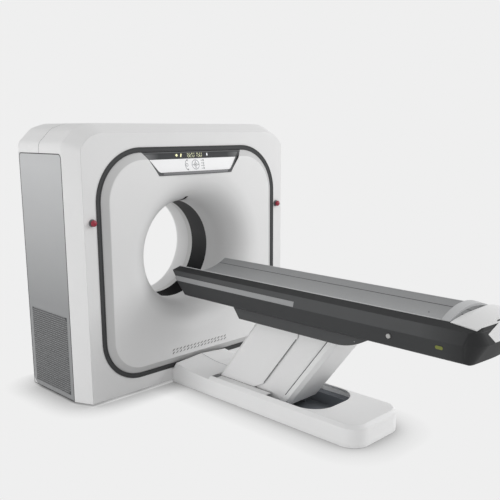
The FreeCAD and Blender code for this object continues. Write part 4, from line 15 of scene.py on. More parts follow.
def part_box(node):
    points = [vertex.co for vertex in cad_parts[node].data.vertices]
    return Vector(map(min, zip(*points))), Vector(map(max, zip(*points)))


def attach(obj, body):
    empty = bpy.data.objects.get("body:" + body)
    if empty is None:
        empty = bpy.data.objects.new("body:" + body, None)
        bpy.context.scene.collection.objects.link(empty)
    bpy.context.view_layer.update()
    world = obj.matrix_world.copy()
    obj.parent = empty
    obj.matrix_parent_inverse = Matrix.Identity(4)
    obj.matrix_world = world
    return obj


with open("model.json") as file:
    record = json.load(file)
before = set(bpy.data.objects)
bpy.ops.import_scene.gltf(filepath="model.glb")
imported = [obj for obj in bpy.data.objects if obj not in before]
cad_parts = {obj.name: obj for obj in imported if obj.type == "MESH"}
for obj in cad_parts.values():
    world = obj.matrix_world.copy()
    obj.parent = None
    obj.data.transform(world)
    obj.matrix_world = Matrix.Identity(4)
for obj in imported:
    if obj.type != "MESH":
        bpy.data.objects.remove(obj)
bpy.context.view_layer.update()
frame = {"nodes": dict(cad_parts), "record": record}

# %% [markdown]
# Measurements come from the frame wherever it has them, so a change in the CAD moves the
# dressing too. The rest are real sizes in metres, written once and named.

# %% Sizes read from the frame
ISO_Z = 0.880
BORE_R = 0.350


def side(node, axis, high):
    """One face of a node's box: its lowest or highest coordinate along an axis."""
    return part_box(node)[1 if high else 0][axis]


def middle(node, axis):
    """The middle of a node's box along an axis."""
    low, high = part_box(node)
    return (low[axis] + high[axis]) / 2


REAR_Y = side("rear_cover", 1, True)
PANEL_X = side("side_panel_right", 0, True)
BODY_TOP_Z = side("table_body_shell", 2, True)
print("rear at y =", round(REAR_Y, 4), "side panel at x =", round(PANEL_X, 4))
print("top of the table's dark shell at z =", round(BODY_TOP_Z, 4))

# %% [markdown]
# Every finish is a Principled shader fed by a few shared effects, each a node group. The first
# effect is surface grain, as moulded and powder-coated surfaces have. It rounds the look of
# sharp edges by a small radius and then tilts the normal a little, at a real size.

# %% A shared grain effect
FLOAT, COLOUR, VECTOR = "NodeSocketFloat", "NodeSocketColor", "NodeSocketVector"
GRAIN_DETAIL = 3.0
GRAIN_HEIGHT = 0.0004
LOOK_SAMPLES = 6


def new_group(name, inputs, outputs):
    """A node group with its sockets, and its two end nodes."""
    group = bpy.data.node_groups.new(name, "ShaderNodeTree")
    for label, kind, value in inputs:
        socket = group.interface.new_socket(name=label, in_out="INPUT", socket_type=kind)
        socket.default_value = value
    for label, kind in outputs:
        group.interface.new_socket(name=label, in_out="OUTPUT", socket_type=kind)
    return group, group.nodes.new("NodeGroupInput"), group.nodes.new("NodeGroupOutput")


def object_noise(group, detail):
    """Noise on a piece's own coordinates, so that it stays with the piece when that moves."""
    place = group.nodes.new("ShaderNodeTexCoord")
    noise = group.nodes.new("ShaderNodeTexNoise")
    noise.inputs["Detail"].default_value = detail
    group.links.new(place.outputs["Object"], noise.inputs["Vector"])
    return noise


def grain_group():
    """Fine surface grain over softened edges."""
    group, entry, leave = new_group(
        "surface_grain",
        [("Scale", FLOAT, 900.0), ("Strength", FLOAT, 0.05), ("Edge Radius", FLOAT, 0.002)],
        [("Normal", VECTOR)])
    links = group.links
    noise = object_noise(group, GRAIN_DETAIL)
    soft = group.nodes.new("ShaderNodeBevel")
    soft.samples = LOOK_SAMPLES
    bump = group.nodes.new("ShaderNodeBump")
    bump.inputs["Distance"].default_value = GRAIN_HEIGHT
    links.new(entry.outputs["Scale"], noise.inputs["Scale"])
    links.new(entry.outputs["Strength"], bump.inputs["Strength"])
    links.new(entry.outputs["Edge Radius"], soft.inputs["Radius"])
    links.new(noise.outputs["Fac"], bump.inputs["Height"])
    links.new(soft.outputs["Normal"], bump.inputs["Normal"])
    links.new(bump.outputs["Normal"], leave.inputs["Normal"])
    return group


GRAIN = grain_group()
print("grain inputs:", [s.name for s in GRAIN.interface.items_tree if s.in_out == "INPUT"])

# %% [markdown]
# Painted and moulded parts are never one exact colour: handling, dust and the mould leave soft
# clouds that are wider than a hand. The second effect mixes two close colours by such clouds.

# %% A shared soft variation effect
CLOUD_DETAIL = 4.0
CLOUD_ROUGHNESS = 0.6


def feed(tree, socket, value):
    """Links a socket to another one, or writes a plain value in it."""
    if isinstance(value, bpy.types.NodeSocket):
        tree.links.new(value, socket)
    else:
        socket.default_value = value


def mix_node(tree, kind, factor, first, second):
    """A Mix node between two colours or two numbers. Gives its result socket."""
    node = tree.nodes.new("ShaderNodeMix")
    node.data_type = kind
    for label, value in (("Factor", factor), ("A", first), ("B", second)):
        feed(tree, node.inputs[label], value)
    return node.outputs["Result"]


def cloud_group():
    """Wide, faint clouds between two colours, and a matching roughness."""
    group, entry, leave = new_group(
        "soft_clouds",
        [("Colour A", COLOUR, (0.8, 0.8, 0.8, 1.0)), ("Colour B", COLOUR, (0.7, 0.7, 0.7, 1.0)),
         ("Scale", FLOAT, 3.0), ("Roughness A", FLOAT, 0.4), ("Roughness B", FLOAT, 0.5)],
        [("Colour", COLOUR), ("Roughness", FLOAT)])
    noise = object_noise(group, CLOUD_DETAIL)
    noise.inputs["Roughness"].default_value = CLOUD_ROUGHNESS
    group.links.new(entry.outputs["Scale"], noise.inputs["Scale"])
    for label, kind in (("Colour", "RGBA"), ("Roughness", "FLOAT")):
        mixed = mix_node(group, kind, noise.outputs["Fac"], entry.outputs[label + " A"],
                         entry.outputs[label + " B"])
        group.links.new(mixed, leave.inputs[label])
    return group


CLOUDS = cloud_group()
print("cloud inputs:", [s.name for s in CLOUDS.interface.items_tree if s.in_out == "INPUT"])

# %% [markdown]
# Years of cleaning polish the edges of a cover. The third effect finds those edges with an
# ambient-occlusion node that looks inside the piece and lights up on outer edges. A second one
# looks outside and darkens corners, where two pieces meet: that darkening is painted shade.

# %% A shared wear and painted shade effect
RUB_REACH = 0.0025
SHADE_REACH = 0.03
SMUDGE_DETAIL = 5.0
SMUDGE_SCALE = 40.0


def math_node(tree, kind, *values):
    """A Math node whose inputs are linked sockets or plain numbers."""
    node = tree.nodes.new("ShaderNodeMath")
    node.operation = kind
    for socket, value in zip(node.inputs, values):
        feed(tree, socket, value)
    return node.outputs[0]


def closeness(group, reach, inside):
    """0 in the open, and up to 1 with surfaces within reach, inside the piece or outside it."""
    look = group.nodes.new("ShaderNodeAmbientOcclusion")
    look.inside = inside
    look.samples = LOOK_SAMPLES
    look.inputs["Distance"].default_value = reach
    return math_node(group, "SUBTRACT", 1.0, look.outputs["AO"])


def wear_and_shade_group():
    """Brighter rubbed edges and painted shade in corners over a colour."""
    group, entry, leave = new_group(
        "wear_and_corner_shade",
        [("Colour", COLOUR, (0.8, 0.8, 0.8, 1.0)), ("Worn Colour", COLOUR, (0.9, 0.9, 0.9, 1.0)),
         ("Dust Colour", COLOUR, (0.3, 0.3, 0.3, 1.0)), ("Wear", FLOAT, 0.2),
         ("Dust", FLOAT, 0.2)],
        [("Colour", COLOUR)])
    given = entry.outputs
    noise = object_noise(group, SMUDGE_DETAIL)
    noise.inputs["Scale"].default_value = SMUDGE_SCALE
    rubbed = math_node(group, "MULTIPLY", closeness(group, RUB_REACH, True), noise.outputs["Fac"])
    rubbed = math_node(group, "MULTIPLY", rubbed, given["Wear"])
    # Painted shade: darker where other surfaces come close outside the piece.
    shaded_corners = math_node(group, "MULTIPLY", closeness(group, SHADE_REACH, False), given["Dust"])
    worn = mix_node(group, "RGBA", rubbed, given["Colour"], given["Worn Colour"])
    group.links.new(mix_node(group, "RGBA", shaded_corners, worn, given["Dust Colour"]),
                    leave.inputs["Colour"])
    return group


WEAR_AND_SHADE = wear_and_shade_group()
print("wear inputs:", [s.name for s in WEAR_AND_SHADE.interface.items_tree if s.in_out == "INPUT"])

# %% [markdown]
# Some pieces carry a pattern: carbon cloth under lacquer, turned steel, a ribbed belt, brass
# tracks. A pattern is a group too. It gives one mask from 0 to 1 at a real size, and the
# finish mixes a second colour in by that mask.

# %% A mask group, stripes and bands
RIB_PITCH = 0.0024
BRUSH_PITCH = 0.0012


def mask_group(name, draw, *sizes):
    """A node group with one output: a mask from 0 to 1, drawn by a function."""
    group, _, leave = new_group(name, [], [("Mask", FLOAT)])
    group.links.new(draw(group, *sizes), leave.inputs["Mask"])
    return group


def object_axes(group):
    """The three Object coordinates as separate sockets."""
    place = group.nodes.new("ShaderNodeTexCoord")
    split = group.nodes.new("ShaderNodeSeparateXYZ")
    group.links.new(place.outputs["Object"], split.inputs[0])
    return split.outputs["X"], split.outputs["Y"], split.outputs["Z"]


def stripes(group, value, pitch):
    """A mask that swings from 0 to 1 once per pitch."""
    turned = math_node(group, "MULTIPLY", value, 2 * math.pi / pitch)
    swing = math_node(group, "SINE", turned)
    return math_node(group, "ADD", math_node(group, "MULTIPLY", swing, 0.5), 0.5)


def bands(group, axis, pitch):
    """Even bands across one axis, for ribs and brushed metal."""
    return stripes(group, object_axes(group)[axis], pitch)


RIBS = mask_group("belt_ribs", bands, 1, RIB_PITCH)
BRUSHED = mask_group("brushed_lines", bands, 2, BRUSH_PITCH)
print("bands:", RIBS.name, BRUSHED.name)

# %% [markdown]
# Carbon cloth is two sets of slanted stripes that take turns on top. Rings are stripes too, but
# of the distance from the bore's axis. A hard threshold turns soft rings into brass tracks.

# %% Cloth, turned steel and tracks
TWILL_PITCH = 0.004
TURNED_PITCH = 0.0016
TRACK_PITCH = 0.018
TRACK_MIDDLE_R = 0.6365
TRACK_LEVEL = 0.55


def twill(group):
    """Carbon cloth: two sets of slanted bands that take turns on top."""
    x, y, _ = object_axes(group)
    warp = stripes(group, math_node(group, "ADD", x, y), TWILL_PITCH)
    weft = stripes(group, math_node(group, "SUBTRACT", x, y), TWILL_PITCH)
    chosen = math_node(group, "GREATER_THAN", stripes(group, x, 2 * TWILL_PITCH), 0.5)
    first = math_node(group, "MULTIPLY", warp, chosen)
    other = math_node(group, "MULTIPLY", weft, math_node(group, "SUBTRACT", 1.0, chosen))
    return math_node(group, "ADD", first, other)


def square_radius(group):
    """The square of the distance from the bore's axis."""
    x, _, z = object_axes(group)
    z = math_node(group, "SUBTRACT", z, ISO_Z)
    across = math_node(group, "MULTIPLY", x, x)
    return math_node(group, "ADD", across, math_node(group, "MULTIPLY", z, z))


def rings(group, centre_r, pitch):
    """Rings round the bore's axis, as a lathe leaves them."""
    radius = math_node(group, "SQRT", square_radius(group))
    return stripes(group, math_node(group, "SUBTRACT", radius, centre_r), pitch)


def tracks(group):
    """Rings with sharp edges: the brass tracks of the slip ring."""
    soft = rings(group, TRACK_MIDDLE_R, TRACK_PITCH)
    return math_node(group, "GREATER_THAN", soft, TRACK_LEVEL)


TWILL = mask_group("carbon_twill", twill)
TURNED = mask_group("turned_marks", rings, 0.0, TURNED_PITCH)
TRACKS = mask_group("slip_tracks", tracks)
print("cloth and rings:", TWILL.name, TURNED.name, TRACKS.name)

# %% [markdown]
# Large pieces of one material still change tone over their length where light falls unevenly, and
# these masks paint that in: painted shade down the side panel, a painted reflection high on the
# black window, and a painted sheen at both ends of the display. They read a place on the piece
# itself, so the tone stays with the piece when it moves, and a ramp between two heights or depths
# is enough for each.

# %% A tone ramp, and the painted light masks of panel, display and window
PANEL_PALE_Z = 1.50
PANEL_DARK_Z = 0.62
SHEEN_START_X = 0.30
SHEEN_FULL_X = 0.425
SHEEN_LEVEL = 0.8
WINDOW_HIGH_Z = 0.95
WINDOW_LOW_Z = 0.60


def ramp_mask(group, value, start, end):
    """A mask that runs from 0 at one value to 1 at another."""
    ramp = group.nodes.new("ShaderNodeMapRange")
    ramp.inputs["From Min"].default_value = start
    ramp.inputs["From Max"].default_value = end
    group.links.new(value, ramp.inputs["Value"])
    return ramp.outputs["Result"]


def fall(group, high_z, low_z):
    """A fade downwards, from one height to another."""
    return ramp_mask(group, object_axes(group)[2], high_z, low_z)


def display_sheen(group):
    """The sheen at both ends of the dark display."""
    away = math_node(group, "ABSOLUTE", object_axes(group)[0])
    return math_node(group, "MULTIPLY", ramp_mask(group, away, SHEEN_START_X, SHEEN_FULL_X),
                     SHEEN_LEVEL)


# Painted shade, darker down the side panel.
PANEL = mask_group("panel_painted_shade", fall, PANEL_PALE_Z, PANEL_DARK_Z)
# Painted reflection, lighter high on the black window.
WINDOW = mask_group("window_painted_reflection", fall, WINDOW_HIGH_Z, WINDOW_LOW_Z)
DISPLAY = mask_group("display_sheen", display_sheen)
print("tone masks:", [g.name for g in (PANEL, WINDOW, DISPLAY)])

# %% [markdown]
# Two masks follow a shape. The bed's dark shell has three facets: its shoulder takes a darker tone
# of its own, painted shade darkens its lower facet, and a painted dark reflection darkens its foot
# end.
# The front cover's outer wall faces away from the light and takes painted shade, and more painted
# shade darkens its funnel towards the throat.

# %% Tone and painted light masks of the bed's shell and the front cover
SHOULDER_Z = BODY_TOP_Z - 0.021
SHOULDER_EDGE = 0.001
BODY_CREASE_Z = BODY_TOP_Z - 0.084
CREASE_EDGE = 0.004
LOWER_SHADE_LEVEL = 0.5
FOOT_START_Y = -2.30
FOOT_FULL_Y = -2.56
FOOT_REFLECTION_LEVEL = 0.95
COVER_FACE_Y = side("front_cover", 1, False)
COVER_MOUTH_R = 0.612
WALL_START = 0.0005
WALL_FULL = 0.004
FUNNEL_FADE_R = 0.520
THROAT_R = 0.370
THROAT_SHADE_LEVEL = 0.6


def shell_band_and_painted_light(group):
    """The bed's shell: its shoulder band darkest in its own tone, painted shade on its lower
    facet, and a painted dark reflection towards the foot.
    """
    _, y, z = object_axes(group)
    shoulder = ramp_mask(group, z, SHOULDER_Z - SHOULDER_EDGE, SHOULDER_Z + SHOULDER_EDGE)
    # Painted shade on the lower facet, which leans down and away from the light.
    lower = ramp_mask(group, z, BODY_CREASE_Z, BODY_CREASE_Z - CREASE_EDGE)
    lower = math_node(group, "MULTIPLY", lower, LOWER_SHADE_LEVEL)
    # A painted dark reflection, growing towards the foot end.
    foot = ramp_mask(group, y, FOOT_START_Y, FOOT_FULL_Y)
    foot = math_node(group, "MULTIPLY", foot, FOOT_REFLECTION_LEVEL)
    return math_node(group, "MAXIMUM", shoulder, math_node(group, "MAXIMUM", lower, foot))


def painted_cover_shade(group):
    """Painted shade on the front cover's outer wall, and painted shade deepening towards the
    throat of its funnel.
    """
    square = square_radius(group)
    y = object_axes(group)[1]
    # Painted shade on the outer wall, which faces away from the light.
    outside = math_node(group, "GREATER_THAN", square, COVER_MOUTH_R ** 2)
    behind = ramp_mask(group, y, COVER_FACE_Y + WALL_START, COVER_FACE_Y + WALL_FULL)
    wall = math_node(group, "MULTIPLY", outside, behind)
    # Painted shade deepening down the funnel towards the throat.
    throat = ramp_mask(group, square, FUNNEL_FADE_R ** 2, THROAT_R ** 2)
    throat = math_node(group, "MULTIPLY", throat, THROAT_SHADE_LEVEL)
    front = math_node(group, "LESS_THAN", y, 0.0)
    return math_node(group, "MULTIPLY", math_node(group, "MAXIMUM", wall, throat), front)


SHELL_TONE_AND_LIGHT = mask_group("shell_band_and_painted_light", shell_band_and_painted_light)
COVER = mask_group("painted_cover_shade", painted_cover_shade)
print("masks that follow a shape:", [g.name for g in (SHELL_TONE_AND_LIGHT, COVER)])

# %% [markdown]
# Colours are written as they should render, on the 0 to 255 scale of a picture. Shaders work in
# linear light, so each value goes through the standard curve of pictures first.

# %% Picture colours as light


def linear(value):
    """A 0 to 255 picture value as linear light."""
    share = min(max(value, 0), 255) / 255
    if share <= 0.04045:
        return share / 12.92
    return ((share + 0.055) / 1.055) ** 2.4


def colour(red, green, blue):
    """A shader colour from picture values."""
    return (linear(red), linear(green), linear(blue), 1.0)


print("picture value 128 as linear light:", round(linear(128), 4))

# %% [markdown]
# One helper makes a finish from all those effects. The rubbed tone and the darker tone of the
# painted shade in corners are worked out from the finish's own tone, so that every finish wears
# and darkens in its own colour.

# %% The finish helper
FINISHES = {}
ROUGH_SPREAD = 0.06
WORN_SHARE = 0.35
SHADE_SHARE = 0.72


def add_group(nodes, group, **values):
    """Places a node group in a material with its own values."""
    node = nodes.new("ShaderNodeGroup")
    node.node_tree = group
    for label, value in values.items():
        node.inputs[label.replace("_", " ")].default_value = value
    return node


def finish(name, tone, spread=4, rough=0.4, grain=0.05, grain_scale=900.0, cloud_scale=3.0,
           metal=0.0, coat=0.0, specular=0.5, wear=0.35, corner_shade=0.3, edge=0.002, pattern=None,
           pattern_tone=None):
    """A lacquered, moulded or painted finish with wear, painted shade in corners and perhaps a
    pattern.
    """
    material = bpy.data.materials.new(name)
    material.use_nodes = True
    tree = material.node_tree
    nodes, links = tree.nodes, tree.links
    shader = nodes["Principled BSDF"]
    clouds = add_group(nodes, CLOUDS, Colour_A=colour(*[c + spread for c in tone]),
                       Colour_B=colour(*[c - spread for c in tone]), Scale=cloud_scale,
                       Roughness_A=rough, Roughness_B=rough + ROUGH_SPREAD)
    tint = clouds.outputs["Colour"]
    if pattern:
        mask = add_group(nodes, pattern).outputs["Mask"]
        tint = mix_node(tree, "RGBA", mask, tint, colour(*pattern_tone))
    lighter = [c + (255 - c) * WORN_SHARE for c in tone]
    # The darker tone colours the painted shade in corners.
    darker = [c * SHADE_SHARE for c in tone]
    worn = add_group(nodes, WEAR_AND_SHADE, Worn_Colour=colour(*lighter), Dust_Colour=colour(*darker),
                     Wear=wear, Dust=corner_shade)
    fine = add_group(nodes, GRAIN, Scale=grain_scale, Strength=grain, Edge_Radius=edge)
    links.new(tint, worn.inputs["Colour"])
    links.new(worn.outputs["Colour"], shader.inputs["Base Color"])
    links.new(clouds.outputs["Roughness"], shader.inputs["Roughness"])
    links.new(fine.outputs["Normal"], shader.inputs["Normal"])
    shader.inputs["Metallic"].default_value = metal
    shader.inputs["Coat Weight"].default_value = coat
    shader.inputs["Specular IOR Level"].default_value = specular
    FINISHES[name] = material
    return material


# The darker share sets the tone of the painted shade in corners.
print("a finish rubs", WORN_SHARE, "of the way to white and gathers dust down to", SHADE_SHARE)

# %% [markdown]
# The covers are white moulded plastic, the bed is lacquered carbon, the works are painted or
# bare metal. Each slot of the record gets one finish, and the gantry comes first. Tones in view
# are read off the photograph, and wear is set by how often hands touch a piece. After its tone
# a finish takes its clouds' spread, its roughness, and its grain's strength and scale.

# %% Finishes of the gantry
finish("housing_white", (232, 232, 232), 2, 0.55, 0.04, edge=0.004, specular=0.25)
# The cover's second tone is painted shade on its outer wall and in its funnel.
finish("cover_white", (231, 231, 231), 2, 0.40, 0.03, edge=0.004, pattern=COVER,
       pattern_tone=(202, 202, 202))
# The panel's second tone is painted shade, growing towards its foot.
finish("panel_grey", (194, 195, 196), 3, 0.55, 0.10, 1400, edge=0.001, pattern=PANEL,
       pattern_tone=(144, 145, 146))
finish("grille_grey", (136, 137, 138), 3, 0.6, 0.10, 1400, edge=0.0006)
finish("trim_dark", (66, 67, 68), 3, 0.6, 0.06, edge=0.003, specular=0.3)
# The window's upper tone is a painted reflection; lower down it fades to near black.
finish("window_black", (86, 86, 87), 2, 0.6, 0.01, specular=0.03, wear=0.1, pattern=WINDOW,
       pattern_tone=(5, 5, 6))
finish("liner_light", (216, 216, 215), 2, 0.45, 0.03)
finish("laser_glass", (170, 168, 168), 2, 0.3, 0.0, specular=0.3, wear=0.0)
finish("console_dark", (74, 75, 77), 3, 0.5, 0.05, edge=0.001, specular=0.3)
finish("display_glass", (62, 63, 65), 3, 0.4, 0.0, specular=0.1, wear=0.0, pattern=DISPLAY,
       pattern_tone=(140, 141, 142))
finish("key_white", (246, 246, 247), 2, 0.45, 0.03, edge=0.001)
finish("stop_red", (150, 30, 52), 4, 0.35, 0.03, coat=0.1, edge=0.001)
finish("collar_grey", (112, 113, 115), 3, 0.45, 0.05, edge=0.001)
finish("frame_paint", (128, 132, 138), 4, 0.5, 0.12, 500, wear=0.6)
finish("bearing_steel", (176, 177, 180), 4, 0.3, 0.04, metal=1.0, pattern=TURNED,
       pattern_tone=(160, 161, 165))
finish("cast_aluminium", (188, 190, 193), 4, 0.42, 0.14, 300, metal=1.0, pattern=TURNED,
       pattern_tone=(176, 178, 182))
finish("slip_brass", (44, 42, 40), 3, 0.36, 0.03, metal=0.6, pattern=TRACKS,
       pattern_tone=(206, 168, 96))
finish("unit_grey", (148, 152, 158), 3, 0.5, 0.10, 700, wear=0.5)
finish("lead_grey", (118, 122, 128), 4, 0.5, 0.12, 300, wear=0.6)
finish("cooler_aluminium", (180, 183, 186), 4, 0.4, 0.06, metal=1.0, pattern=BRUSHED,
       pattern_tone=(164, 167, 171))
finish("weight_steel", (98, 100, 104), 6, 0.6, 0.2, 200, metal=1.0, pattern=BRUSHED,
       pattern_tone=(84, 86, 90))
finish("motor_paint", (52, 56, 62), 3, 0.45, 0.10, 500, wear=0.5)
finish("belt_rubber", (34, 34, 35), 3, 0.7, 0.1, pattern=RIBS, pattern_tone=(20, 20, 21))
finish("fan_plastic", (38, 38, 40), 3, 0.5, 0.08, 1200)
print(len(FINISHES), "finishes for the gantry")

# %% [markdown]
# The table has whites and greys of its own. Its dark shell takes the mask of its shoulder band and
# of painted shade and reflection, and the cradle's lacquer lets a faint cloth show through. Then
# every CAD node gets its slot's finish.

# %% Finishes of the table
finish("base_white", (247, 247, 247), 2, 0.5, 0.05, edge=0.004, corner_shade=0.25, specular=0.3)
finish("column_white", (238, 238, 238), 2, 0.45, 0.05, edge=0.003)
finish("arm_paint", (96, 100, 106), 4, 0.5, 0.12, 500, wear=0.6)
finish("pin_steel", (192, 194, 197), 4, 0.25, 0.03, metal=1.0, pattern=BRUSHED,
       pattern_tone=(178, 180, 184))
# The shell's second tone is its darker shoulder band, with painted shade on the lower facet and a
# painted dark reflection at the foot.
finish("body_dark", (72, 73, 74), 3, 0.5, 0.06, 1200, edge=0.004, wear=0.15, specular=0.3,
       pattern=SHELL_TONE_AND_LIGHT, pattern_tone=(32, 33, 34))
finish("belly_dark", (74, 75, 76), 3, 0.55, 0.08, 1200, edge=0.004, wear=0.15, specular=0.3)
finish("stripe_light", (146, 147, 148), 3, 0.45, 0.05, edge=0.001)
finish("tail_white", (226, 226, 226), 2, 0.4, 0.04, edge=0.003)
finish("pad_white", (222, 222, 214), 3, 0.5, 0.03)
finish("cradle_grey", (157, 158, 159), 3, 0.42, 0.02, specular=0.35, edge=0.002, pattern=TWILL,
       pattern_tone=(144, 145, 146))
finish("handle_light", (184, 185, 186), 3, 0.45, 0.04, edge=0.003)
finish("button_light", (180, 180, 178), 3, 0.4, 0.04, edge=0.001)

for row in frame["record"]["subparts"]:
    mesh = frame["nodes"][row["node"]].data
    mesh.materials.clear()
    mesh.materials.append(FINISHES[row["material_slot"]])
print(len(FINISHES), "finishes on", len(frame["nodes"]), "nodes")

# %% [markdown]
# The dressing needs a few more: seal rubber, gauze, foam, printed ink, screws and lamps. They
# come from the same helper, so a screw and a housing take painted shade in their corners in the
# same way. A lit mark also gets a little light of its own.

# %% Finishes of the dressing


def glow(name, tone, strength):
    """A lit mark: its own colour, shown a little by its own light."""
    material = finish(name, tone, 3, 0.35, 0.0, wear=0.0, corner_shade=0.0, edge=0.0)
    shader = material.node_tree.nodes["Principled BSDF"]
    shader.inputs["Emission Color"].default_value = colour(*tone)
    shader.inputs["Emission Strength"].default_value = strength


finish("slit_black", (12, 10, 11), 1, 0.5, 0.0, specular=0.04, wear=0.0, corner_shade=0.0)
finish("seal_rubber", (44, 44, 46), 3, 0.65, 0.1, 1500, edge=0.0006)
# Gauze and foam are dark as painted shade behind the holes of the side grilles.
finish("shade_gauze", (74, 75, 76), 5, 0.9, 0.6, 900, 60.0, wear=0.0, edge=0.0)
finish("foam_painted_shade", (66, 67, 69), 8, 0.95, 0.9, 380, 160.0, corner_shade=0.6, wear=0.0, edge=0.0)
finish("screw_steel", (170, 172, 175), 4, 0.32, 0.04, metal=1.0, edge=0.0004)
finish("screw_dark", (60, 61, 63), 3, 0.4, 0.04, metal=0.7, edge=0.0004)
finish("symbol_grey", (126, 128, 132), 3, 0.5, 0.02, wear=0.0, edge=0.0)
glow("digit_olive", (198, 200, 158), 0.3)
glow("lamp_yellow", (236, 234, 176), 0.6)
glow("lamp_white", (232, 234, 236), 0.5)
glow("lamp_green", (112, 118, 48), 0.1)
finish("rim_light", (196, 197, 198), 3, 0.35, 0.03, edge=0.001)
print(len(FINISHES), "finishes in all")

# %% [markdown]
# New pieces are made in a bmesh and kept by one helper: it merges doubles, turns the faces
# outwards, smooths all but the sharp edges, and lets the piece ride on a body of the frame.

# %% Keeping a new piece
MERGE = 0.00001
SHARP_ANGLE = math.radians(35)


def new_object(name, data):
    """An object in the scene's own collection."""
    item = bpy.data.objects.new(name, data)
    bpy.context.collection.objects.link(item)
    return item


def keep(name, bm, finish_name, body):
    """Turns a bmesh into a finished piece that rides on a body of the frame."""
    bmesh.ops.remove_doubles(bm, verts=bm.verts, dist=MERGE)
    bmesh.ops.recalc_face_normals(bm, faces=bm.faces)
    if not bm.faces:
        raise ValueError(name + " has no faces")
    mesh = bpy.data.meshes.new(name)
    bm.to_mesh(mesh)
    bm.free()
    mesh.materials.append(FINISHES[finish_name])
    mesh.shade_smooth()
    mesh.set_sharp_from_angle(angle=SHARP_ANGLE)
    item = new_object(name, mesh)
    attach(item, body)
    print(name, len(mesh.polygons), "faces on", body)


print("doubles are merged below", MERGE * 1000, "mm")

# %% [markdown]
# Many pieces are thin drawings on a face: lips, gaskets, digits and marks. They are drawn flat,
# with operators that round and raise, and one matrix then lays them on their face.

# %% Flat drawings


def facing(place, outward, up=(0, 0, 1)):
    """Matrix that lays a flat drawing on a surface: across, up and outward."""
    w = Vector(outward).normalized()
    u = Vector(up).cross(w).normalized()
    matrix = Matrix((u, w.cross(u), w)).transposed().to_4x4()
    matrix.translation = Vector(place)
    return matrix


def move(bm, matrix):
    """Moves a whole bmesh by a matrix."""
    bmesh.ops.transform(bm, matrix=matrix, verts=bm.verts)


def flat_face(bm, low, high):
    """A flat face between two corners of a drawing. Gives its vertices, the low ones first."""
    made = bmesh.ops.create_grid(bm, x_segments=1, y_segments=1, size=1.0)["verts"]
    bmesh.ops.scale(bm, vec=((high[0] - low[0]) / 2, (high[1] - low[1]) / 2, 1), verts=made)
    bmesh.ops.translate(bm, vec=((low[0] + high[0]) / 2, (low[1] + high[1]) / 2, 0), verts=made)
    return sorted(made, key=lambda v: v.co.y)


def round_corners(bm, corners, radius, steps):
    """Rounds some corners of a flat face."""
    bmesh.ops.bevel(bm, geom=corners, offset=radius, segments=steps, profile=0.5,
                    affect="VERTICES", material=-1)


def rounded_face(bm, low, high, low_radius, high_radius, steps=8):
    """A flat face with round corners, in the drawing's own plane."""
    corners = flat_face(bm, low, high)
    round_corners(bm, corners[:2], low_radius, steps)
    round_corners(bm, corners[2:], high_radius, steps)
    return max(bm.faces, key=lambda f: f.calc_area())


def new_verts(made):
    """The vertices that an extrusion made."""
    return [g for g in made["geom"] if isinstance(g, bmesh.types.BMVert)]


def raise_faces(bm, faces, height):
    """Gives flat faces a thickness."""
    made = bmesh.ops.extrude_face_region(bm, geom=faces)
    bmesh.ops.translate(bm, vec=(0, 0, height), verts=new_verts(made))


across, up, out = (tuple(axis) for axis in facing((0, 0, 0), (0, -1, 0)).to_3x3().transposed())
print("on a front face a drawing's axes are", across, up, out)

# %% [markdown]
# A dark rubber ring runs round the front cover. On the real ring two darker lips stand beside
# a paler middle, so two raised lines follow its outer and inner edges. Each starts as one flat
# face with bevelled corners, which is inset and raised: the corners stay true arcs.

# %% Lips of the trim ring
TRIM_HALF = side("trim_ring", 0, True)
TRIM_LOW = side("trim_ring", 2, False)
TRIM_TOP = side("trim_ring", 2, True)
TRIM_FACE = side("trim_ring", 1, False)
TRIM_W = 0.030
TRIM_LOW_R = 0.290
TRIM_TOP_R = 0.340
LIP_W = 0.006
LIP_H = 0.002


def inset_border(bm, face, width):
    """Insets a lone face. Gives the faces of the border round it."""
    return bmesh.ops.inset_region(bm, faces=[face], thickness=width, use_boundary=True,
                                  use_even_offset=True)["faces"]


def outline_line(low, high, low_radius, high_radius, width, height, steps=12):
    """A raised line along a rounded outline, as its own bmesh."""
    bm = bmesh.new()
    face = rounded_face(bm, low, high, low_radius, high_radius, steps)
    border = inset_border(bm, face, width)
    bmesh.ops.delete(bm, geom=[face], context="FACES_ONLY")
    raise_faces(bm, border, height)
    return bm


def add_bmesh(bm, other, matrix):
    """Adds one bmesh to another, moved by a matrix."""
    move(other, matrix)
    mesh = bpy.data.meshes.new("joined")
    other.to_mesh(mesh)
    other.free()
    bm.from_mesh(mesh)
    bpy.data.meshes.remove(mesh)


bm = bmesh.new()
for step_in in (0.0, TRIM_W - LIP_W):
    line = outline_line((-TRIM_HALF + step_in, TRIM_LOW + step_in),
                        (TRIM_HALF - step_in, TRIM_TOP - step_in),
                        TRIM_LOW_R - step_in, TRIM_TOP_R - step_in, LIP_W, LIP_H, steps=24)
    add_bmesh(bm, line, facing((0, TRIM_FACE, 0), (0, -1, 0)))
keep("trim_lips", bm, "seal_rubber", "machine_base")

# %% [markdown]
# The console has a dark glass strip with lit marks and a white key field with printed marks.
# All of them are drawn flat, in millimetres, and one matrix lays them on the sloping face.
# The numbers are plain seven-segment digits, the usual readout of a bed position.

# %% The console's face
MM = 0.001
CONSOLE_SLOPE = 0.1933
CONSOLE_FACE_Y = -0.396
CONSOLE_FOOT_Z = 1.424
SLOPE_ANGLE = math.atan(CONSOLE_SLOPE)


def on_console(x, z):
    """Matrix for a drawing at a point of the console's sloping face."""
    y = CONSOLE_FACE_Y + (z - CONSOLE_FOOT_Z) * CONSOLE_SLOPE
    return facing((x, y, z), (0, -math.cos(SLOPE_ANGLE), math.sin(SLOPE_ANGLE)))


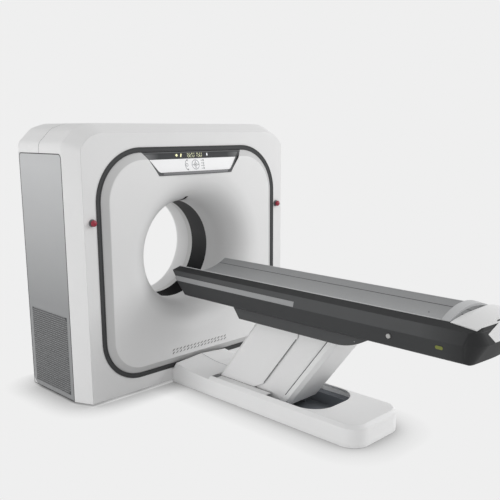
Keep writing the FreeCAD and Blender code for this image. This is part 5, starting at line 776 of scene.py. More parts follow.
print("the console leans back by", round(math.degrees(SLOPE_ANGLE), 2), "degrees")

# %% [markdown]
# A digit is made of thin bars in the places of a figure eight. One table gives each bar's place
# in half widths and half heights, and says if it lies flat. The other lists the lit bars. A bar
# is a block, from one helper that can round a block's edges too.

# %% Lit digits
PRINT_H = 0.3 * MM
DIGIT_FIRST_X = -52 * MM
DIGIT_STEP = 21 * MM
DIGIT_GAP = 4 * MM
DIGIT_Z = 1.553
DIGIT_HALF_W = 7.5 * MM
DIGIT_HALF_H = 16 * MM
DIGIT_BAR = 4.2 * MM
UPRIGHT_CUT = DIGIT_BAR * 0.6
SEGMENTS = {"top": (0, 1, True), "middle": (0, 0, True), "bottom": (0, -1, True),
            "high_left": (-1, 0.5, False), "high_right": (1, 0.5, False),
            "low_left": (-1, -0.5, False), "low_right": (1, -0.5, False)}
DIGITS = {"0": "top bottom high_left high_right low_left low_right",
          "1": "high_right low_right", "2": "top middle bottom high_right low_left",
          "5": "top middle bottom high_left low_right",
          "8": "top middle bottom high_left high_right low_left low_right"}


def block(bm, low, high, bevel=0.0, matrix=None):
    """A block between two corners, with rounded edges."""
    verts = bmesh.ops.create_cube(bm, size=1.0)["verts"]
    bmesh.ops.scale(bm, vec=[b - a for a, b in zip(low, high)], verts=verts)
    bmesh.ops.translate(bm, vec=[(a + b) / 2 for a, b in zip(low, high)], verts=verts)
    if bevel:
        edges = list({e for v in verts for e in v.link_edges})
        made = bmesh.ops.bevel(bm, geom=edges, offset=bevel, segments=2, profile=0.5,
                               affect="EDGES", material=-1)
        verts = list({v for f in made["faces"] for v in f.verts})
    if matrix is not None:
        bmesh.ops.transform(bm, matrix=matrix, verts=verts)


def digit(bm, text, x):
    """One seven-segment digit."""
    for name in DIGITS[text].split():
        u, v, flat = SEGMENTS[name]
        reach = DIGIT_HALF_W - DIGIT_BAR if flat else DIGIT_HALF_H / 2 - UPRIGHT_CUT
        half_w, half_h = (reach, DIGIT_BAR / 2) if flat else (DIGIT_BAR / 2, reach)
        bar_x, bar_y = u * DIGIT_HALF_W, v * DIGIT_HALF_H
        block(bm, (bar_x - half_w, bar_y - half_h, 0), (bar_x + half_w, bar_y + half_h, PRINT_H),
              matrix=on_console(x, DIGIT_Z))


bm = bmesh.new()
for i, text in enumerate("820150"):
    digit(bm, text, DIGIT_FIRST_X + i * DIGIT_STEP + (DIGIT_GAP if i > 2 else 0))
keep("display_digits", bm, "digit_olive", "machine_base")

# %% [markdown]
# Beside the number stand three small lit marks: a diamond, a slanted bar and a drop. A circle
# of four sides is a diamond, and a circle made narrow and tall is a drop.

# %% Lit marks beside the digits
MARK_Z = 1.552
DIAMOND_X = -0.154
DIAMOND_R = 10 * MM
BAR_X = -0.117
BAR_Z = 1.551
BAR_HALF_W = 4.5 * MM
BAR_HALF_H = 11 * MM
BAR_LEAN = math.radians(-20)
DROP_X = 0.113
DROP_R = 6 * MM
DROP_STRETCH = (0.8, 1.7, 1.0)
bm = bmesh.new()
bmesh.ops.create_circle(bm, cap_ends=True, segments=4, radius=DIAMOND_R)
raise_faces(bm, list(bm.faces), PRINT_H)
move(bm, on_console(DIAMOND_X, MARK_Z))
block(bm, (-BAR_HALF_W, -BAR_HALF_H, 0), (BAR_HALF_W, BAR_HALF_H, PRINT_H),
      matrix=on_console(BAR_X, BAR_Z) @ Matrix.Rotation(BAR_LEAN, 4, "Z"))
keep("display_marks", bm, "lamp_yellow", "machine_base")
bm = bmesh.new()
bmesh.ops.create_circle(bm, cap_ends=True, segments=24, radius=DROP_R)
bmesh.ops.scale(bm, vec=DROP_STRETCH, verts=bm.verts)
raise_faces(bm, list(bm.faces), PRINT_H)
move(bm, on_console(DROP_X, MARK_Z))
keep("display_drop", bm, "lamp_white", "machine_base")

# %% [markdown]
# A printed ring is one short line, spun round the ring's middle. Where it goes all the way round,
# its ends are merged. An arrowhead is a circle of three sides.

# %% Ink rings and arrowheads
ARC_STEP = 12


def ink_ring(bm, centre, radius, width, start=0.0, end=360.0):
    """A ring or part of a ring, spun from one short line."""
    middle_point = Vector((*centre, 0))
    outwards = Vector((math.cos(math.radians(start)), math.sin(math.radians(start)), 0))
    first = bm.verts.new(middle_point + outwards * (radius - width))
    last = bm.verts.new(middle_point + outwards * radius)
    edge = bm.edges.new((first, last))
    bmesh.ops.spin(bm, geom=[edge, first, last], cent=middle_point, axis=(0, 0, 1),
                   angle=math.radians(end - start), steps=max(6, int((end - start) / ARC_STEP)),
                   use_merge=end - start >= 360.0)


def ink_triangle(bm, centre, radius, turn):
    """A small arrowhead."""
    place = Matrix.Translation((*centre, 0)) @ Matrix.Rotation(math.radians(turn), 4, "Z")
    bmesh.ops.create_circle(bm, cap_ends=True, segments=3, radius=radius, matrix=place)


print("a whole ring has", 360 // ARC_STEP, "sides")

# %% [markdown]
# The key field moves the bed: a curl for tilt on the left, a ring with a cross for the four
# directions in the middle, and small keys in a column on the right. They are printed ink.

# %% Printed key symbols
KEYS_Z = 1.487
LINE = 3.2 * MM
PAD_R = 33 * MM
HUB_R = 14 * MM
ARROW_AWAY = 22.5 * MM
ARROW_R = 6 * MM
CROSS_REACH = 9 * MM
TILT_X = -48 * MM
TILT_R = 44 * MM
TILT_END = (-70 * MM, 31 * MM)
TILT_TIP_R = 8 * MM
KNOB_X = -76 * MM
KNOB_R = 11 * MM
KEY_ROWS = 4
KEY_TOP_Y = 27 * MM
KEY_STEP = 18 * MM
KEY_DASH = (50 * MM, 60 * MM)
KEY_DASH_HALF_H = 2 * MM
KEY_X = 71 * MM
KEY_R = 6.5 * MM
bm = bmesh.new()
ink_ring(bm, (0, 0), PAD_R, LINE)
ink_ring(bm, (0, 0), HUB_R, LINE)
for turn in (90, 180, 270, 360):
    away = math.radians(turn)
    ink_triangle(bm, (ARROW_AWAY * math.cos(away), ARROW_AWAY * math.sin(away)), ARROW_R, turn)
flat_face(bm, (-CROSS_REACH, -LINE / 2), (CROSS_REACH, LINE / 2))
flat_face(bm, (-LINE / 2, LINE / 2), (LINE / 2, CROSS_REACH))
flat_face(bm, (-LINE / 2, -CROSS_REACH), (LINE / 2, -LINE / 2))
ink_ring(bm, (TILT_X, 0), TILT_R, LINE, 125, 235)
ink_triangle(bm, TILT_END, TILT_TIP_R, 60)
ink_triangle(bm, (TILT_END[0], -TILT_END[1]), TILT_TIP_R, 240)
ink_ring(bm, (KNOB_X, 0), KNOB_R, LINE)
for row in range(KEY_ROWS):
    y = KEY_TOP_Y - row * KEY_STEP
    flat_face(bm, (KEY_DASH[0], y - KEY_DASH_HALF_H), (KEY_DASH[1], y + KEY_DASH_HALF_H))
    ink_ring(bm, (KEY_X, y), KEY_R, LINE)
raise_faces(bm, list(bm.faces), PRINT_H)
move(bm, on_console(0, KEYS_Z))
keep("key_symbols", bm, "symbol_grey", "machine_base")

# %% [markdown]
# A dark lip frames the console on its two slanted sides, and a wider grey ledge closes it below.
# One flat face is inset, its inner foot is lifted to the ledge's width and rounded, and the
# border is raised. The ledge is a bevelled bar on top of the border's lower run.

# %% Lip and ledge of the console
CONSOLE_TOP_HALF = side("console_housing", 0, True)
CONSOLE_LOW_HALF = 0.318
CONSOLE_H = side("console_housing", 2, True) - CONSOLE_FOOT_Z
SLANT = math.sqrt(1 + CONSOLE_SLOPE ** 2)
LIP_SIDE_W = 0.009
LIP_CORNER = 0.016
LEDGE_W = 0.020
LEDGE_HALF = 0.286
LEDGE_IN = 0.002
LEDGE_SINK = 0.001
LEDGE_PROUD = 0.002
LEDGE_ROUND = 0.0012
LIP_RISE = 0.0035
bm = bmesh.new()
corners = flat_face(bm, (-CONSOLE_LOW_HALF, 0), (CONSOLE_LOW_HALF, CONSOLE_H * SLANT))
bmesh.ops.scale(bm, vec=(CONSOLE_TOP_HALF / CONSOLE_LOW_HALF, 1, 1), verts=corners[2:])
face = bm.faces[:][0]
inset_border(bm, face, LIP_SIDE_W)
low = sorted(face.verts, key=lambda v: v.co.y)[:2]
bmesh.ops.translate(bm, vec=(0, LEDGE_W - LIP_SIDE_W, 0), verts=low)
round_corners(bm, low, LIP_CORNER, 6)
inner = max(bm.faces, key=lambda f: f.calc_area())
bmesh.ops.delete(bm, geom=[inner], context="FACES_ONLY")
raise_faces(bm, list(bm.faces), LIP_RISE)
move(bm, on_console(0, CONSOLE_FOOT_Z))
keep("console_lip", bm, "console_dark", "machine_base")
bm = bmesh.new()
block(bm, (-LEDGE_HALF, LEDGE_IN, LIP_RISE - LEDGE_SINK),
      (LEDGE_HALF, LEDGE_W - LEDGE_IN, LIP_RISE + LEDGE_PROUD), LEDGE_ROUND,
      on_console(0, CONSOLE_FOOT_Z))
keep("console_ledge", bm, "collar_grey", "machine_base")

# %% [markdown]
# High in the funnel sits a flush plate. The photograph doesn't show what is behind it, so it
# stays plain. It is a small grid bent onto the funnel: every vertex is moved to the radius that
# the funnel has at its own depth, which keeps the plate flush on a surface that curves both ways.

# %% Flush plate in the funnel
FUNNEL_MOUTH_R = 0.600
FUNNEL_THROAT_Y = -0.166
FUNNEL_DEPTH = 0.230


def funnel_radius(y):
    """Radius of the funnel's surface at a depth."""
    share = (y - FUNNEL_THROAT_Y) / FUNNEL_DEPTH
    return FUNNEL_MOUTH_R - (FUNNEL_MOUTH_R - BORE_R) * math.sqrt(max(0.0, 1 - share * share))


def funnel_sheet(half_w, middle_y, half_d, proud, round_off):
    """A small round-cornered sheet bent onto the funnel at its highest point."""
    bm = bmesh.new()
    bmesh.ops.create_grid(bm, x_segments=14, y_segments=8, size=1.0)
    corners = [v for v in bm.verts if len(v.link_edges) == 2]
    round_corners(bm, corners, round_off, 4)
    for vert in bm.verts:
        y = middle_y + vert.co.y * half_d
        radius = funnel_radius(y) - proud
        angle = vert.co.x * half_w / radius
        vert.co = (radius * math.sin(angle), y, ISO_Z + radius * math.cos(angle))
    return bm


plate = funnel_sheet(half_w=0.055, middle_y=-0.318, half_d=0.016, proud=0.0008, round_off=0.12)
keep("funnel_plate", plate, "liner_light", "machine_base")

# %% [markdown]
# The aiming laser shines through a black slit that runs along the top of the funnel. It is the
# same bent sheet, long and narrow, and stands a millimetre off the funnel.

# %% Laser slit
slit = funnel_sheet(half_w=0.012, middle_y=-0.236, half_d=0.050, proud=0.001, round_off=0.1)
keep("laser_slit", slit, "slit_black", "machine_base")

# %% [markdown]
# Each side panel is framed by a dark gasket, which is a rounded outline raised by a millimetre.
# The panel has round corners at its top and nearly sharp ones at the floor, and so has the line.

# %% The gasket of a side panel
PANEL_LOW, PANEL_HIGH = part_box("side_panel_right")
PANEL_LOW_R = 0.004
PANEL_TOP_R = 0.030
GASKET_W = 0.0045
GASKET_H = 0.001


def on_side(sign, y, z, depth=0.0):
    """Matrix for a drawing on the gantry's flat side."""
    return facing((sign * (PANEL_X - depth), y, z), (sign, 0, 0))


def gasket(sign):
    """A dark line round a side panel, with the panel's round upper corners."""
    half = (PANEL_HIGH[1] - PANEL_LOW[1]) / 2
    tall = PANEL_HIGH[2] - PANEL_LOW[2]
    bm = outline_line((-half, 0), (half, tall), PANEL_LOW_R, PANEL_TOP_R, GASKET_W, GASKET_H)
    move(bm, on_side(sign, middle("side_panel_right", 1), PANEL_LOW[2]))
    return bm


print("a gasket frames", [round(b - a, 3) for a, b in zip(PANEL_LOW, PANEL_HIGH)][1:], "metres")

# %% [markdown]
# Low on each panel a sheet with rows of small leaning holes lies over the air inlet and a little
# past its edges. The sheet is a grid, sheared so that its cells lean, and one wireframe
# operation turns its lines into bars. The holes are cut by lines and not one by one, which
# keeps more than a thousand of them light.

# %% A sheet with leaning holes
SHEET_LOW = (-0.200, 0.050)
SHEET_HIGH = (0.233, 0.561)
SHEET_HALF_W = (SHEET_HIGH[0] - SHEET_LOW[0]) / 2
SHEET_HALF_H = (SHEET_HIGH[1] - SHEET_LOW[1]) / 2
SHEET_PROUD = 0.0008
CORNER_CUT = 1.88
HOLES = (34, 36)
HOLE_LEAN = 0.35
WEB = 0.0048
WEB_FLAT = 0.17


def grille_cells(columns, rows):
    """A grid the size of the grille, without its outermost corners."""
    bm = bmesh.new()
    bmesh.ops.create_grid(bm, x_segments=columns, y_segments=rows, size=1.0)
    corner = [f for f in bm.faces if abs(f.calc_center_median().x) +
              abs(f.calc_center_median().y) > CORNER_CUT]
    bmesh.ops.delete(bm, geom=corner, context="FACES")
    bmesh.ops.scale(bm, vec=(SHEET_HALF_W, SHEET_HALF_H, 1), verts=bm.verts)
    return bm


def over_grille(bm, sign, proud):
    """Moves a flat drawing over the grille, just proud of the panel."""
    move(bm, on_side(sign, SHEET_LOW[0] + SHEET_HALF_W, SHEET_LOW[1] + SHEET_HALF_H, -proud))


def lean_rows(bm, sign):
    """Shifts every second row of corners, so that holes lean. The outline stays straight."""
    row_h = 2 * SHEET_HALF_H / HOLES[1]
    for vert in bm.verts:
        row = round((vert.co.y + SHEET_HALF_H) / row_h)
        if row % 2 and abs(vert.co.x) < SHEET_HALF_W * 0.999:
            vert.co.x += sign * HOLE_LEAN * row_h


def perforated_sheet(sign):
    """A thin sheet with rows of small leaning holes."""
    bm = grille_cells(*HOLES)
    lean_rows(bm, sign)
    bmesh.ops.wireframe(bm, faces=bm.faces, thickness=WEB, use_boundary=True,
                        use_even_offset=False, use_replace=True)
    bmesh.ops.scale(bm, vec=(1, 1, WEB_FLAT), verts=bm.verts)
    over_grille(bm, sign, SHEET_PROUD)
    return bm


print("a sheet has", HOLES[0] * HOLES[1], "holes, less those at its corners")

# %% [markdown]
# Right behind the sheet lies a gauze, and behind that a block of filter foam. They close the view
# into the machine, and their dark tone is painted shade that makes the holes read dark.

# %% Gaskets, sheets, gauzes and filters on both sides
GRILLE_LOW, GRILLE_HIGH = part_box("side_grilles")
GAUZE_CELLS = (16, 16)
GAUZE_H = 0.0003
GAUZE_PROUD = 0.0001
FILTER_DEPTHS = (0.010, 0.0036)
FILTER_LOW_Z = 0.113
FILTER_IN = 0.004
FILTER_ROUND = 0.001
SIDES = ((-1, "left"), (1, "right"))


def shade_gauze(sign):
    """The gauze right behind the sheet, dark as painted shade in the holes."""
    bm = grille_cells(*GAUZE_CELLS)
    raise_faces(bm, list(bm.faces), GAUZE_H)
    over_grille(bm, sign, GAUZE_PROUD)
    return bm


def foam_filter(sign):
    """The block of filter foam behind the sheet and the gauze, dark as painted shade."""
    bm = bmesh.new()
    low_x, high_x = sorted(sign * (PANEL_X - depth) for depth in FILTER_DEPTHS)
    block(bm, (low_x, GRILLE_LOW[1] + FILTER_IN, FILTER_LOW_Z),
          (high_x, GRILLE_HIGH[1] - FILTER_IN, GRILLE_HIGH[2] - FILTER_IN), FILTER_ROUND)
    return bm


for sign, label in SIDES:
    keep("panel_gasket_" + label, gasket(sign), "seal_rubber", "machine_base")
    for name, bm, finish_name in (("grille_sheet_", perforated_sheet(sign), "grille_grey"),
                                  ("grille_gauze_", shade_gauze(sign), "shade_gauze"),
                                  ("grille_filter_", foam_filter(sign), "foam_painted_shade")):
        keep(name + label, bm, finish_name, "machine_base")

# %% [markdown]
# Behind the two rows of vent slots low on the front cover lies a dark strip. Its dark tone is
# painted shade, so the slots read dark, and no light falls through them.

# %% Dark strip behind the vents, as painted shade
VENT_HALF_W = 0.262
VENT_LOW_Z = 0.2045
VENT_HIGH_Z = 0.2475
COVER_WALL = 0.005
VENT_GAP = 0.0002
VENT_STRIP_T = 0.0012
VENT_STRIP_ROUND = 0.0004
strip_y = COVER_FACE_Y + COVER_WALL + VENT_GAP
bm = bmesh.new()
# A dark strip as painted shade behind the vent slots.
block(bm, (-VENT_HALF_W, strip_y, VENT_LOW_Z),
      (VENT_HALF_W, strip_y + VENT_STRIP_T, VENT_HIGH_Z), VENT_STRIP_ROUND)
keep("vent_shade_strip", bm, "seal_rubber", "machine_base")

# %% [markdown]
# The housing is split in a front and a rear shell. The joint shows as a thin dark line over the
# top and down to the side panels. To find where it runs, a copy of the shell is cut just in
# front of the joint, and only the outer edges of that cut are kept. An edge lies outside if a
# ray from just beyond it, away from the bore, is free.

# %% Edges along the joint
JOINT_Y = 0.016
SKIN_T = 0.0035
SHORTEST = 0.0001
HOUSING_TOP_Z = side("front_housing_shell", 2, True)
JOINT_LOW_Z = PANEL_HIGH[2] + 0.002


def cut_edges(node, place, normal, wanted):
    """The edges where a plane cuts a copy of a node's mesh, as far as they are wanted."""
    bm = bmesh.new()
    bm.from_mesh(frame["nodes"][node].data)
    bmesh.ops.remove_doubles(bm, verts=bm.verts, dist=MERGE)
    whole = list(bm.verts) + list(bm.edges) + list(bm.faces)
    made = bmesh.ops.bisect_plane(bm, geom=whole, plane_co=place, plane_no=normal,
                                  clear_inner=True, clear_outer=True)
    lines = {g for g in made["geom_cut"] if isinstance(g, bmesh.types.BMEdge)}
    other = [e for e in bm.edges if e not in lines or not wanted(e)]
    bmesh.ops.delete(bm, geom=other, context="EDGES")
    bmesh.ops.delete(bm, geom=[v for v in bm.verts if not v.link_edges], context="VERTS")
    return bm


def open_outwards(point):
    """True where nothing of the front housing lies further out than a point."""
    shell = frame["nodes"]["front_housing_shell"]
    away = (point - Vector((0, point.y, ISO_Z))).normalized()
    return not shell.ray_cast(point, away)[0]


def on_skin(edge):
    """True for an edge of the cut that lies on the housing's outer face, above the panels."""
    first, last = (vert.co for vert in edge.verts)
    point = (first + last) / 2
    if point.z < JOINT_LOW_Z or abs(first.z - last.z) + abs(first.x - last.x) < SHORTEST:
        return False
    away = (point - Vector((0, JOINT_Y, ISO_Z))).normalized()
    return open_outwards(point + SKIN_T * away) or point.z > HOUSING_TOP_Z - SKIN_T


print("the joint shows above z =", round(JOINT_LOW_Z, 3))

# %% [markdown]
# The kept edges are moved back to the joint and drawn out to a narrow ribbon, so the line
# follows every corner. A hair of scale about the bore's axis lifts it off the housing.

# %% Joint line of the housing
JOINT_W = 0.0024
JOINT_PROUD = 1.0004
JOINT_CUT_Y = JOINT_Y - 0.006


def joint_line():
    """A narrow ribbon round the housing, above the side panels."""
    bm = cut_edges("front_housing_shell", (0, JOINT_CUT_Y, 0), (0, 1, 0), on_skin)
    bmesh.ops.translate(bm, vec=(0, JOINT_Y - JOINT_CUT_Y - JOINT_W / 2, 0), verts=bm.verts)
    made = bmesh.ops.extrude_edge_only(bm, edges=bm.edges)
    bmesh.ops.translate(bm, vec=(0, JOINT_W, 0), verts=new_verts(made))
    bmesh.ops.translate(bm, vec=(0, 0, -ISO_Z), verts=bm.verts)
    bmesh.ops.scale(bm, vec=(JOINT_PROUD, 1, JOINT_PROUD), verts=bm.verts)
    bmesh.ops.translate(bm, vec=(0, 0, ISO_Z), verts=bm.verts)
    return bm


keep("housing_joint", joint_line(), "seal_rubber", "machine_base")

# %% [markdown]
# A cap screw is a low cone. Its recess is an inset of the top, pushed in, so that the head
# catches light as a real one does. All sizes of the head are shares of its radius.

# %% A screw
SCREW_SIDES = 16
HEAD_H = 0.5
HEAD_TAPER = 0.82
RECESS_IN = 0.35
RECESS_DEEP = 0.3


def screw(bm, matrix, radius):
    """A low cap screw with a round recess, its head outwards."""
    lift = Matrix.Translation((0, 0, radius * HEAD_H / 2))
    made = bmesh.ops.create_cone(bm, cap_ends=True, segments=SCREW_SIDES, radius1=radius,
                                 radius2=radius * HEAD_TAPER, depth=radius * HEAD_H,
                                 matrix=matrix @ lift)
    caps = {f for v in made["verts"] for f in v.link_faces if len(f.verts) == SCREW_SIDES}
    outward = matrix.to_3x3() @ Vector((0, 0, 1))
    top = max(caps, key=lambda f: f.calc_center_median().dot(outward))
    bmesh.ops.inset_region(bm, faces=[top], thickness=radius * RECESS_IN)
    bmesh.ops.translate(bm, vec=-outward * radius * RECESS_DEEP, verts=top.verts)


def screws(name, places, outward, radius, finish_name, body):
    """A set of equal screws on one body."""
    bm = bmesh.new()
    up = (0, 0, 1) if abs(outward[2]) < 0.9 else (0, 1, 0)
    for place in places:
        screw(bm, facing(place, outward, up), radius)
    keep(name, bm, finish_name, body)


print("a screw of 4 mm radius stands", 4 * HEAD_H, "mm proud")

# %% [markdown]
# The rear isn't in the photograph, so it gets only what such a cover needs. First comes a row
# of screws at its rim.

# %% Screws of the rear cover
REAR_HALF = side("rear_cover", 0, True)
REAR_LOW = side("rear_cover", 2, False)
REAR_TOP = side("rear_cover", 2, True)
EDGE_IN = 0.030
SIDE_SCREWS_Z = (0.45, 0.88, 1.31)
LEVEL_SCREWS_X = (-0.45, 0.0, 0.45)
REAR_SCREW_R = 0.007
places = [(x, REAR_Y, z) for x in (-REAR_HALF + EDGE_IN, REAR_HALF - EDGE_IN)
          for z in SIDE_SCREWS_Z]
places += [(x, REAR_Y, z) for z in (REAR_LOW + EDGE_IN, REAR_TOP - EDGE_IN)
           for x in LEVEL_SCREWS_X]
screws("rear_cover_screws", places, (0, 1, 0), REAR_SCREW_R, "screw_steel", "machine_base")

# %% [markdown]
# Low on the rear sits a plate with the sockets for supply and data. Nothing is plugged in. A
# socket is a short barrel whose inset top is pushed down, which leaves a rim round its hole.

# %% Socket plate
PLATE_X = -0.42
PLATE_Z = 0.235
PLATE_HALF = (0.13, 0.035)
PLATE_ROUND = 0.008
PLATE_T = 0.002
SOCKETS_X = (-0.09, -0.03, 0.03, 0.09)
SOCKET_R = 0.019
SOCKET_TOP_R = 0.018
SOCKET_H = 0.012
SOCKET_RIM = 0.004
SOCKET_DEEP = 0.009
rear = facing((PLATE_X, REAR_Y, PLATE_Z), (0, 1, 0))
bm = bmesh.new()
face = rounded_face(bm, (-PLATE_HALF[0], -PLATE_HALF[1]), PLATE_HALF, PLATE_ROUND, PLATE_ROUND)
raise_faces(bm, [face], PLATE_T)
move(bm, rear)
for x in SOCKETS_X:
    barrel = bmesh.new()
    bmesh.ops.create_cone(barrel, cap_ends=True, segments=28, radius1=SOCKET_R,
                          radius2=SOCKET_TOP_R, depth=SOCKET_H,
                          matrix=Matrix.Translation((x, 0, SOCKET_H / 2)))
    top = max(barrel.faces, key=lambda f: f.calc_center_median().z)
    bmesh.ops.inset_region(barrel, faces=[top], thickness=SOCKET_RIM)
    bmesh.ops.translate(barrel, vec=(0, 0, -SOCKET_DEEP), verts=top.verts)
    add_bmesh(bm, barrel, rear)
keep("socket_plate", bm, "seal_rubber", "machine_base")

# %% [markdown]
# The bed's lift hides behind covers that slide past each other. A black wiper seal runs along
# each sliding edge, and its dark line also stands in, as painted shade, for the shadow in the gap
# between the covers. Its place is given along and behind the leaning arm that carries it. Both
# sides are alike, so one helper makes a block and its mirror image.

# %% Wiper seals of the column
ARM_LEAN = math.radians(38.0)
PIVOT_Z = 0.100
FRONT_PIVOT_Y = -0.836
REAR_PIVOT_Y = FRONT_PIVOT_Y - 0.375
COLUMN_HALF = side("front_column_cover", 0, True)
SEAL_W = 0.004
SEAL_PROUD = 0.0015
SEAL_SINK = 0.001
SEAL_ROUND = 0.0007


def block_pair(x_reach, y_reach, z_reach, bevel, matrix=None):
    """A block and its mirror image on the other side of the middle, as a new bmesh."""
    bm = bmesh.new()
    for sign in (-1, 1):
        low_x, high_x = sorted(sign * x for x in x_reach)
        block(bm, (low_x, y_reach[0], z_reach[0]), (high_x, y_reach[1], z_reach[1]), bevel, matrix)
    return bm


def arm_matrix(pivot_y):
    """Axes of a leaning arm: across, behind and along."""
    behind = Vector((0, -math.cos(ARM_LEAN), -math.sin(ARM_LEAN)))
    along = Vector((0, -math.sin(ARM_LEAN), math.cos(ARM_LEAN)))
    matrix = Matrix((Vector((1, 0, 0)), behind, along)).transposed().to_4x4()
    matrix.translation = Vector((0, pivot_y, PIVOT_Z))
    return matrix


def seal(name, pivot_y, behind, along, body):
    """A pair of wiper seals, one on each side of the column; their dark rubber is partly painted
    shade of the gap.
    """
    bm = block_pair((COLUMN_HALF - SEAL_SINK, COLUMN_HALF + SEAL_PROUD),
                    (behind - SEAL_W, behind), along, SEAL_ROUND, arm_matrix(pivot_y))
    keep(name, bm, "seal_rubber", body)


# Seals partly real, partly painted shade for the gap between the sliding covers.
seal("front_cover_seals_and_gap_shade", FRONT_PIVOT_Y, 0.2138, (0.264, 0.690), "front_arm")
seal("rear_cover_seals_and_gap_shade", REAR_PIVOT_Y, 0.0792, (0.118, 0.712), "rear_arm")

# %% [markdown]
# The bed is a shallow carbon trough. A pale lip protects both rims, and a fine dark joint runs
# along each crease. Each is one long thin block and its mirror image.

# %% Rims and joints of the bed
CRADLE_LOW, CRADLE_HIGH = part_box("cradle_top")
RIM_Z = CRADLE_HIGH[2]
RIM_X = CRADLE_HIGH[0] - 0.0015
RIM_HALF_W = 0.0022
RIM_DOWN = 0.004
RIM_UP = 0.0015
RIM_ROUND = 0.001
CREASE_X = 0.150
CREASE_Z = RIM_Z - 0.027
JOINT_HALF_W = 0.0014
JOINT_DOWN = 0.0005
JOINT_UP = 0.0011
JOINT_ROUND = 0.0004
END_IN = 0.004
keep("cradle_rims", block_pair((RIM_X - RIM_HALF_W, RIM_X + RIM_HALF_W),
                               (CRADLE_LOW[1] + END_IN / 2, CRADLE_HIGH[1] - END_IN),
                               (RIM_Z - RIM_DOWN, RIM_Z + RIM_UP), RIM_ROUND),
     "rim_light", "cradle")
keep("cradle_joints", block_pair((CREASE_X - JOINT_HALF_W, CREASE_X + JOINT_HALF_W),
                                 (CRADLE_LOW[1] + END_IN, CRADLE_HIGH[1] - END_IN),
                                 (CREASE_Z - JOINT_DOWN, CREASE_Z + JOINT_UP), JOINT_ROUND),
     "seal_rubber", "cradle")

# %% [markdown]
# The screws at the foot stand in the trough, so their height comes from its arc. The arc is
# known by its width and its sag, and those two give its radius.

# %% Screws of the bed
TROUGH_SAG = 0.032
TROUGH_R = (CREASE_X ** 2 + TROUGH_SAG ** 2) / (2 * TROUGH_SAG)
SCREW_SINK = 0.0005
CRADLE_SCREW_R = 0.0042
CRADLE_SCREWS = ((0.06, -2.167), (0.061, -2.269), (-0.06, -2.167), (-0.061, -2.269),
                 (-0.105, -2.334), (0.105, -2.334))


def trough_z(x):
    """Height of the bed's upper surface at a distance from the middle, between the creases."""
    return CREASE_Z - TROUGH_SAG + TROUGH_R - math.sqrt(TROUGH_R ** 2 - x * x)


screws("cradle_screws", [(x, y, trough_z(x) - SCREW_SINK) for x, y in CRADLE_SCREWS], (0, 0, 1),
       CRADLE_SCREW_R, "screw_dark", "cradle")

# %% [markdown]
# On the bed's flank sit the release button in a thin collar and a small green lamp. Both lie
# on the lower facet, which leans inwards, so their drawings are laid on that slope.

# %% Button collar and lamp
FACET_TOP = (0.270, BODY_CREASE_Z)
FACET_LOW = (0.255, BODY_TOP_Z - 0.171)
FACET_LEAN = (FACET_TOP[0] - FACET_LOW[0]) / (FACET_TOP[1] - FACET_LOW[1])


def on_facet(sign, y, z):
    """Matrix for a drawing on the lower facet of the bed's flank."""
    x = FACET_TOP[0] - (FACET_TOP[1] - z) * FACET_LEAN
    return facing((sign * x, y, z), (sign, 0, -FACET_LEAN))


BUTTON_Y = middle("release_button", 1)
BUTTON_Z = middle("release_button", 2)
COLLAR_R = 0.0165
COLLAR_W = 0.0035
COLLAR_H = 0.0012
LAMP_Y = -2.416
LAMP_Z = 0.708
LAMP_HALF = (0.020, 0.009)
LAMP_ROUND = 0.008
LAMP_H = 0.002
bm = bmesh.new()
ink_ring(bm, (0, 0), COLLAR_R, COLLAR_W)
raise_faces(bm, list(bm.faces), COLLAR_H)
move(bm, on_facet(-1, BUTTON_Y, BUTTON_Z))
keep("button_collar", bm, "seal_rubber", "table_top")
bm = bmesh.new()
face = rounded_face(bm, (-LAMP_HALF[0], -LAMP_HALF[1]), LAMP_HALF, LAMP_ROUND, LAMP_ROUND)
raise_faces(bm, [face], LAMP_H)
move(bm, on_facet(-1, LAMP_Y, LAMP_Z))
keep("bed_lamp", bm, "lamp_green", "table_top")

# %% [markdown]
# Under the hood's edge, the dark shell runs on round both corners of the foot up to the white.
# The shell's own upper edge is cut out of a copy of it and drawn up and inwards, so the band
# keeps the shell's curve and its lean.

# %% Bands at the corners of the foot
BAND_LOW_Z = BODY_TOP_Z - 0.0205
BAND_RISE = 0.026
BAND_LEAN = 0.0075
BAND_FRONT_Y = -2.580
BAND_FULL_X = 0.165
BAND_END_X = 0.232
BAND_END_RISE = 0.006
BAND_NARROW = 0.985


def in_band(edge):
    """True for an edge of the cut that lies at the foot's end."""
    return max(vert.co.y for vert in edge.verts) <= BAND_FRONT_Y


def foot_bands():
    """The shell's upper edge at the foot, drawn up to the hood."""
    bm = cut_edges("table_body_shell", (0, 0, BAND_LOW_Z), (0, 0, 1), in_band)
    high = new_verts(bmesh.ops.extrude_edge_only(bm, edges=bm.edges))
    bmesh.ops.scale(bm, vec=(BAND_NARROW, 1, 1), verts=high)
    for vert in high:
        share = min(max((BAND_END_X - abs(vert.co.x)) / (BAND_END_X - BAND_FULL_X), 0.0), 1.0)
        rise = BAND_END_RISE + (BAND_RISE - BAND_END_RISE) * share
        bmesh.ops.translate(bm, vec=(0, BAND_LEAN * rise / BAND_RISE, rise), verts=[vert])
    return bm


keep("foot_bands", foot_bands(), "body_dark", "table_top")

# %% [markdown]
# One bright screw shows low on the belly, near the foot; its twin sits on the far side. The
# screws helper turns a low cone and sinks a round recess in its head.

# %% Belly screws
BELLY_SCREW_Y = -1.905
BELLY_SCREW_Z = 0.6206
BELLY_FACE_X = 0.2332
BELLY_LEAN = -0.069
BELLY_SCREW_R = 0.0032
for sign, label in SIDES:
    screws("belly_screw_" + label, [(sign * BELLY_FACE_X, BELLY_SCREW_Y, BELLY_SCREW_Z)],
           (sign, 0, BELLY_LEAN), BELLY_SCREW_R, "screw_steel", "table_top")

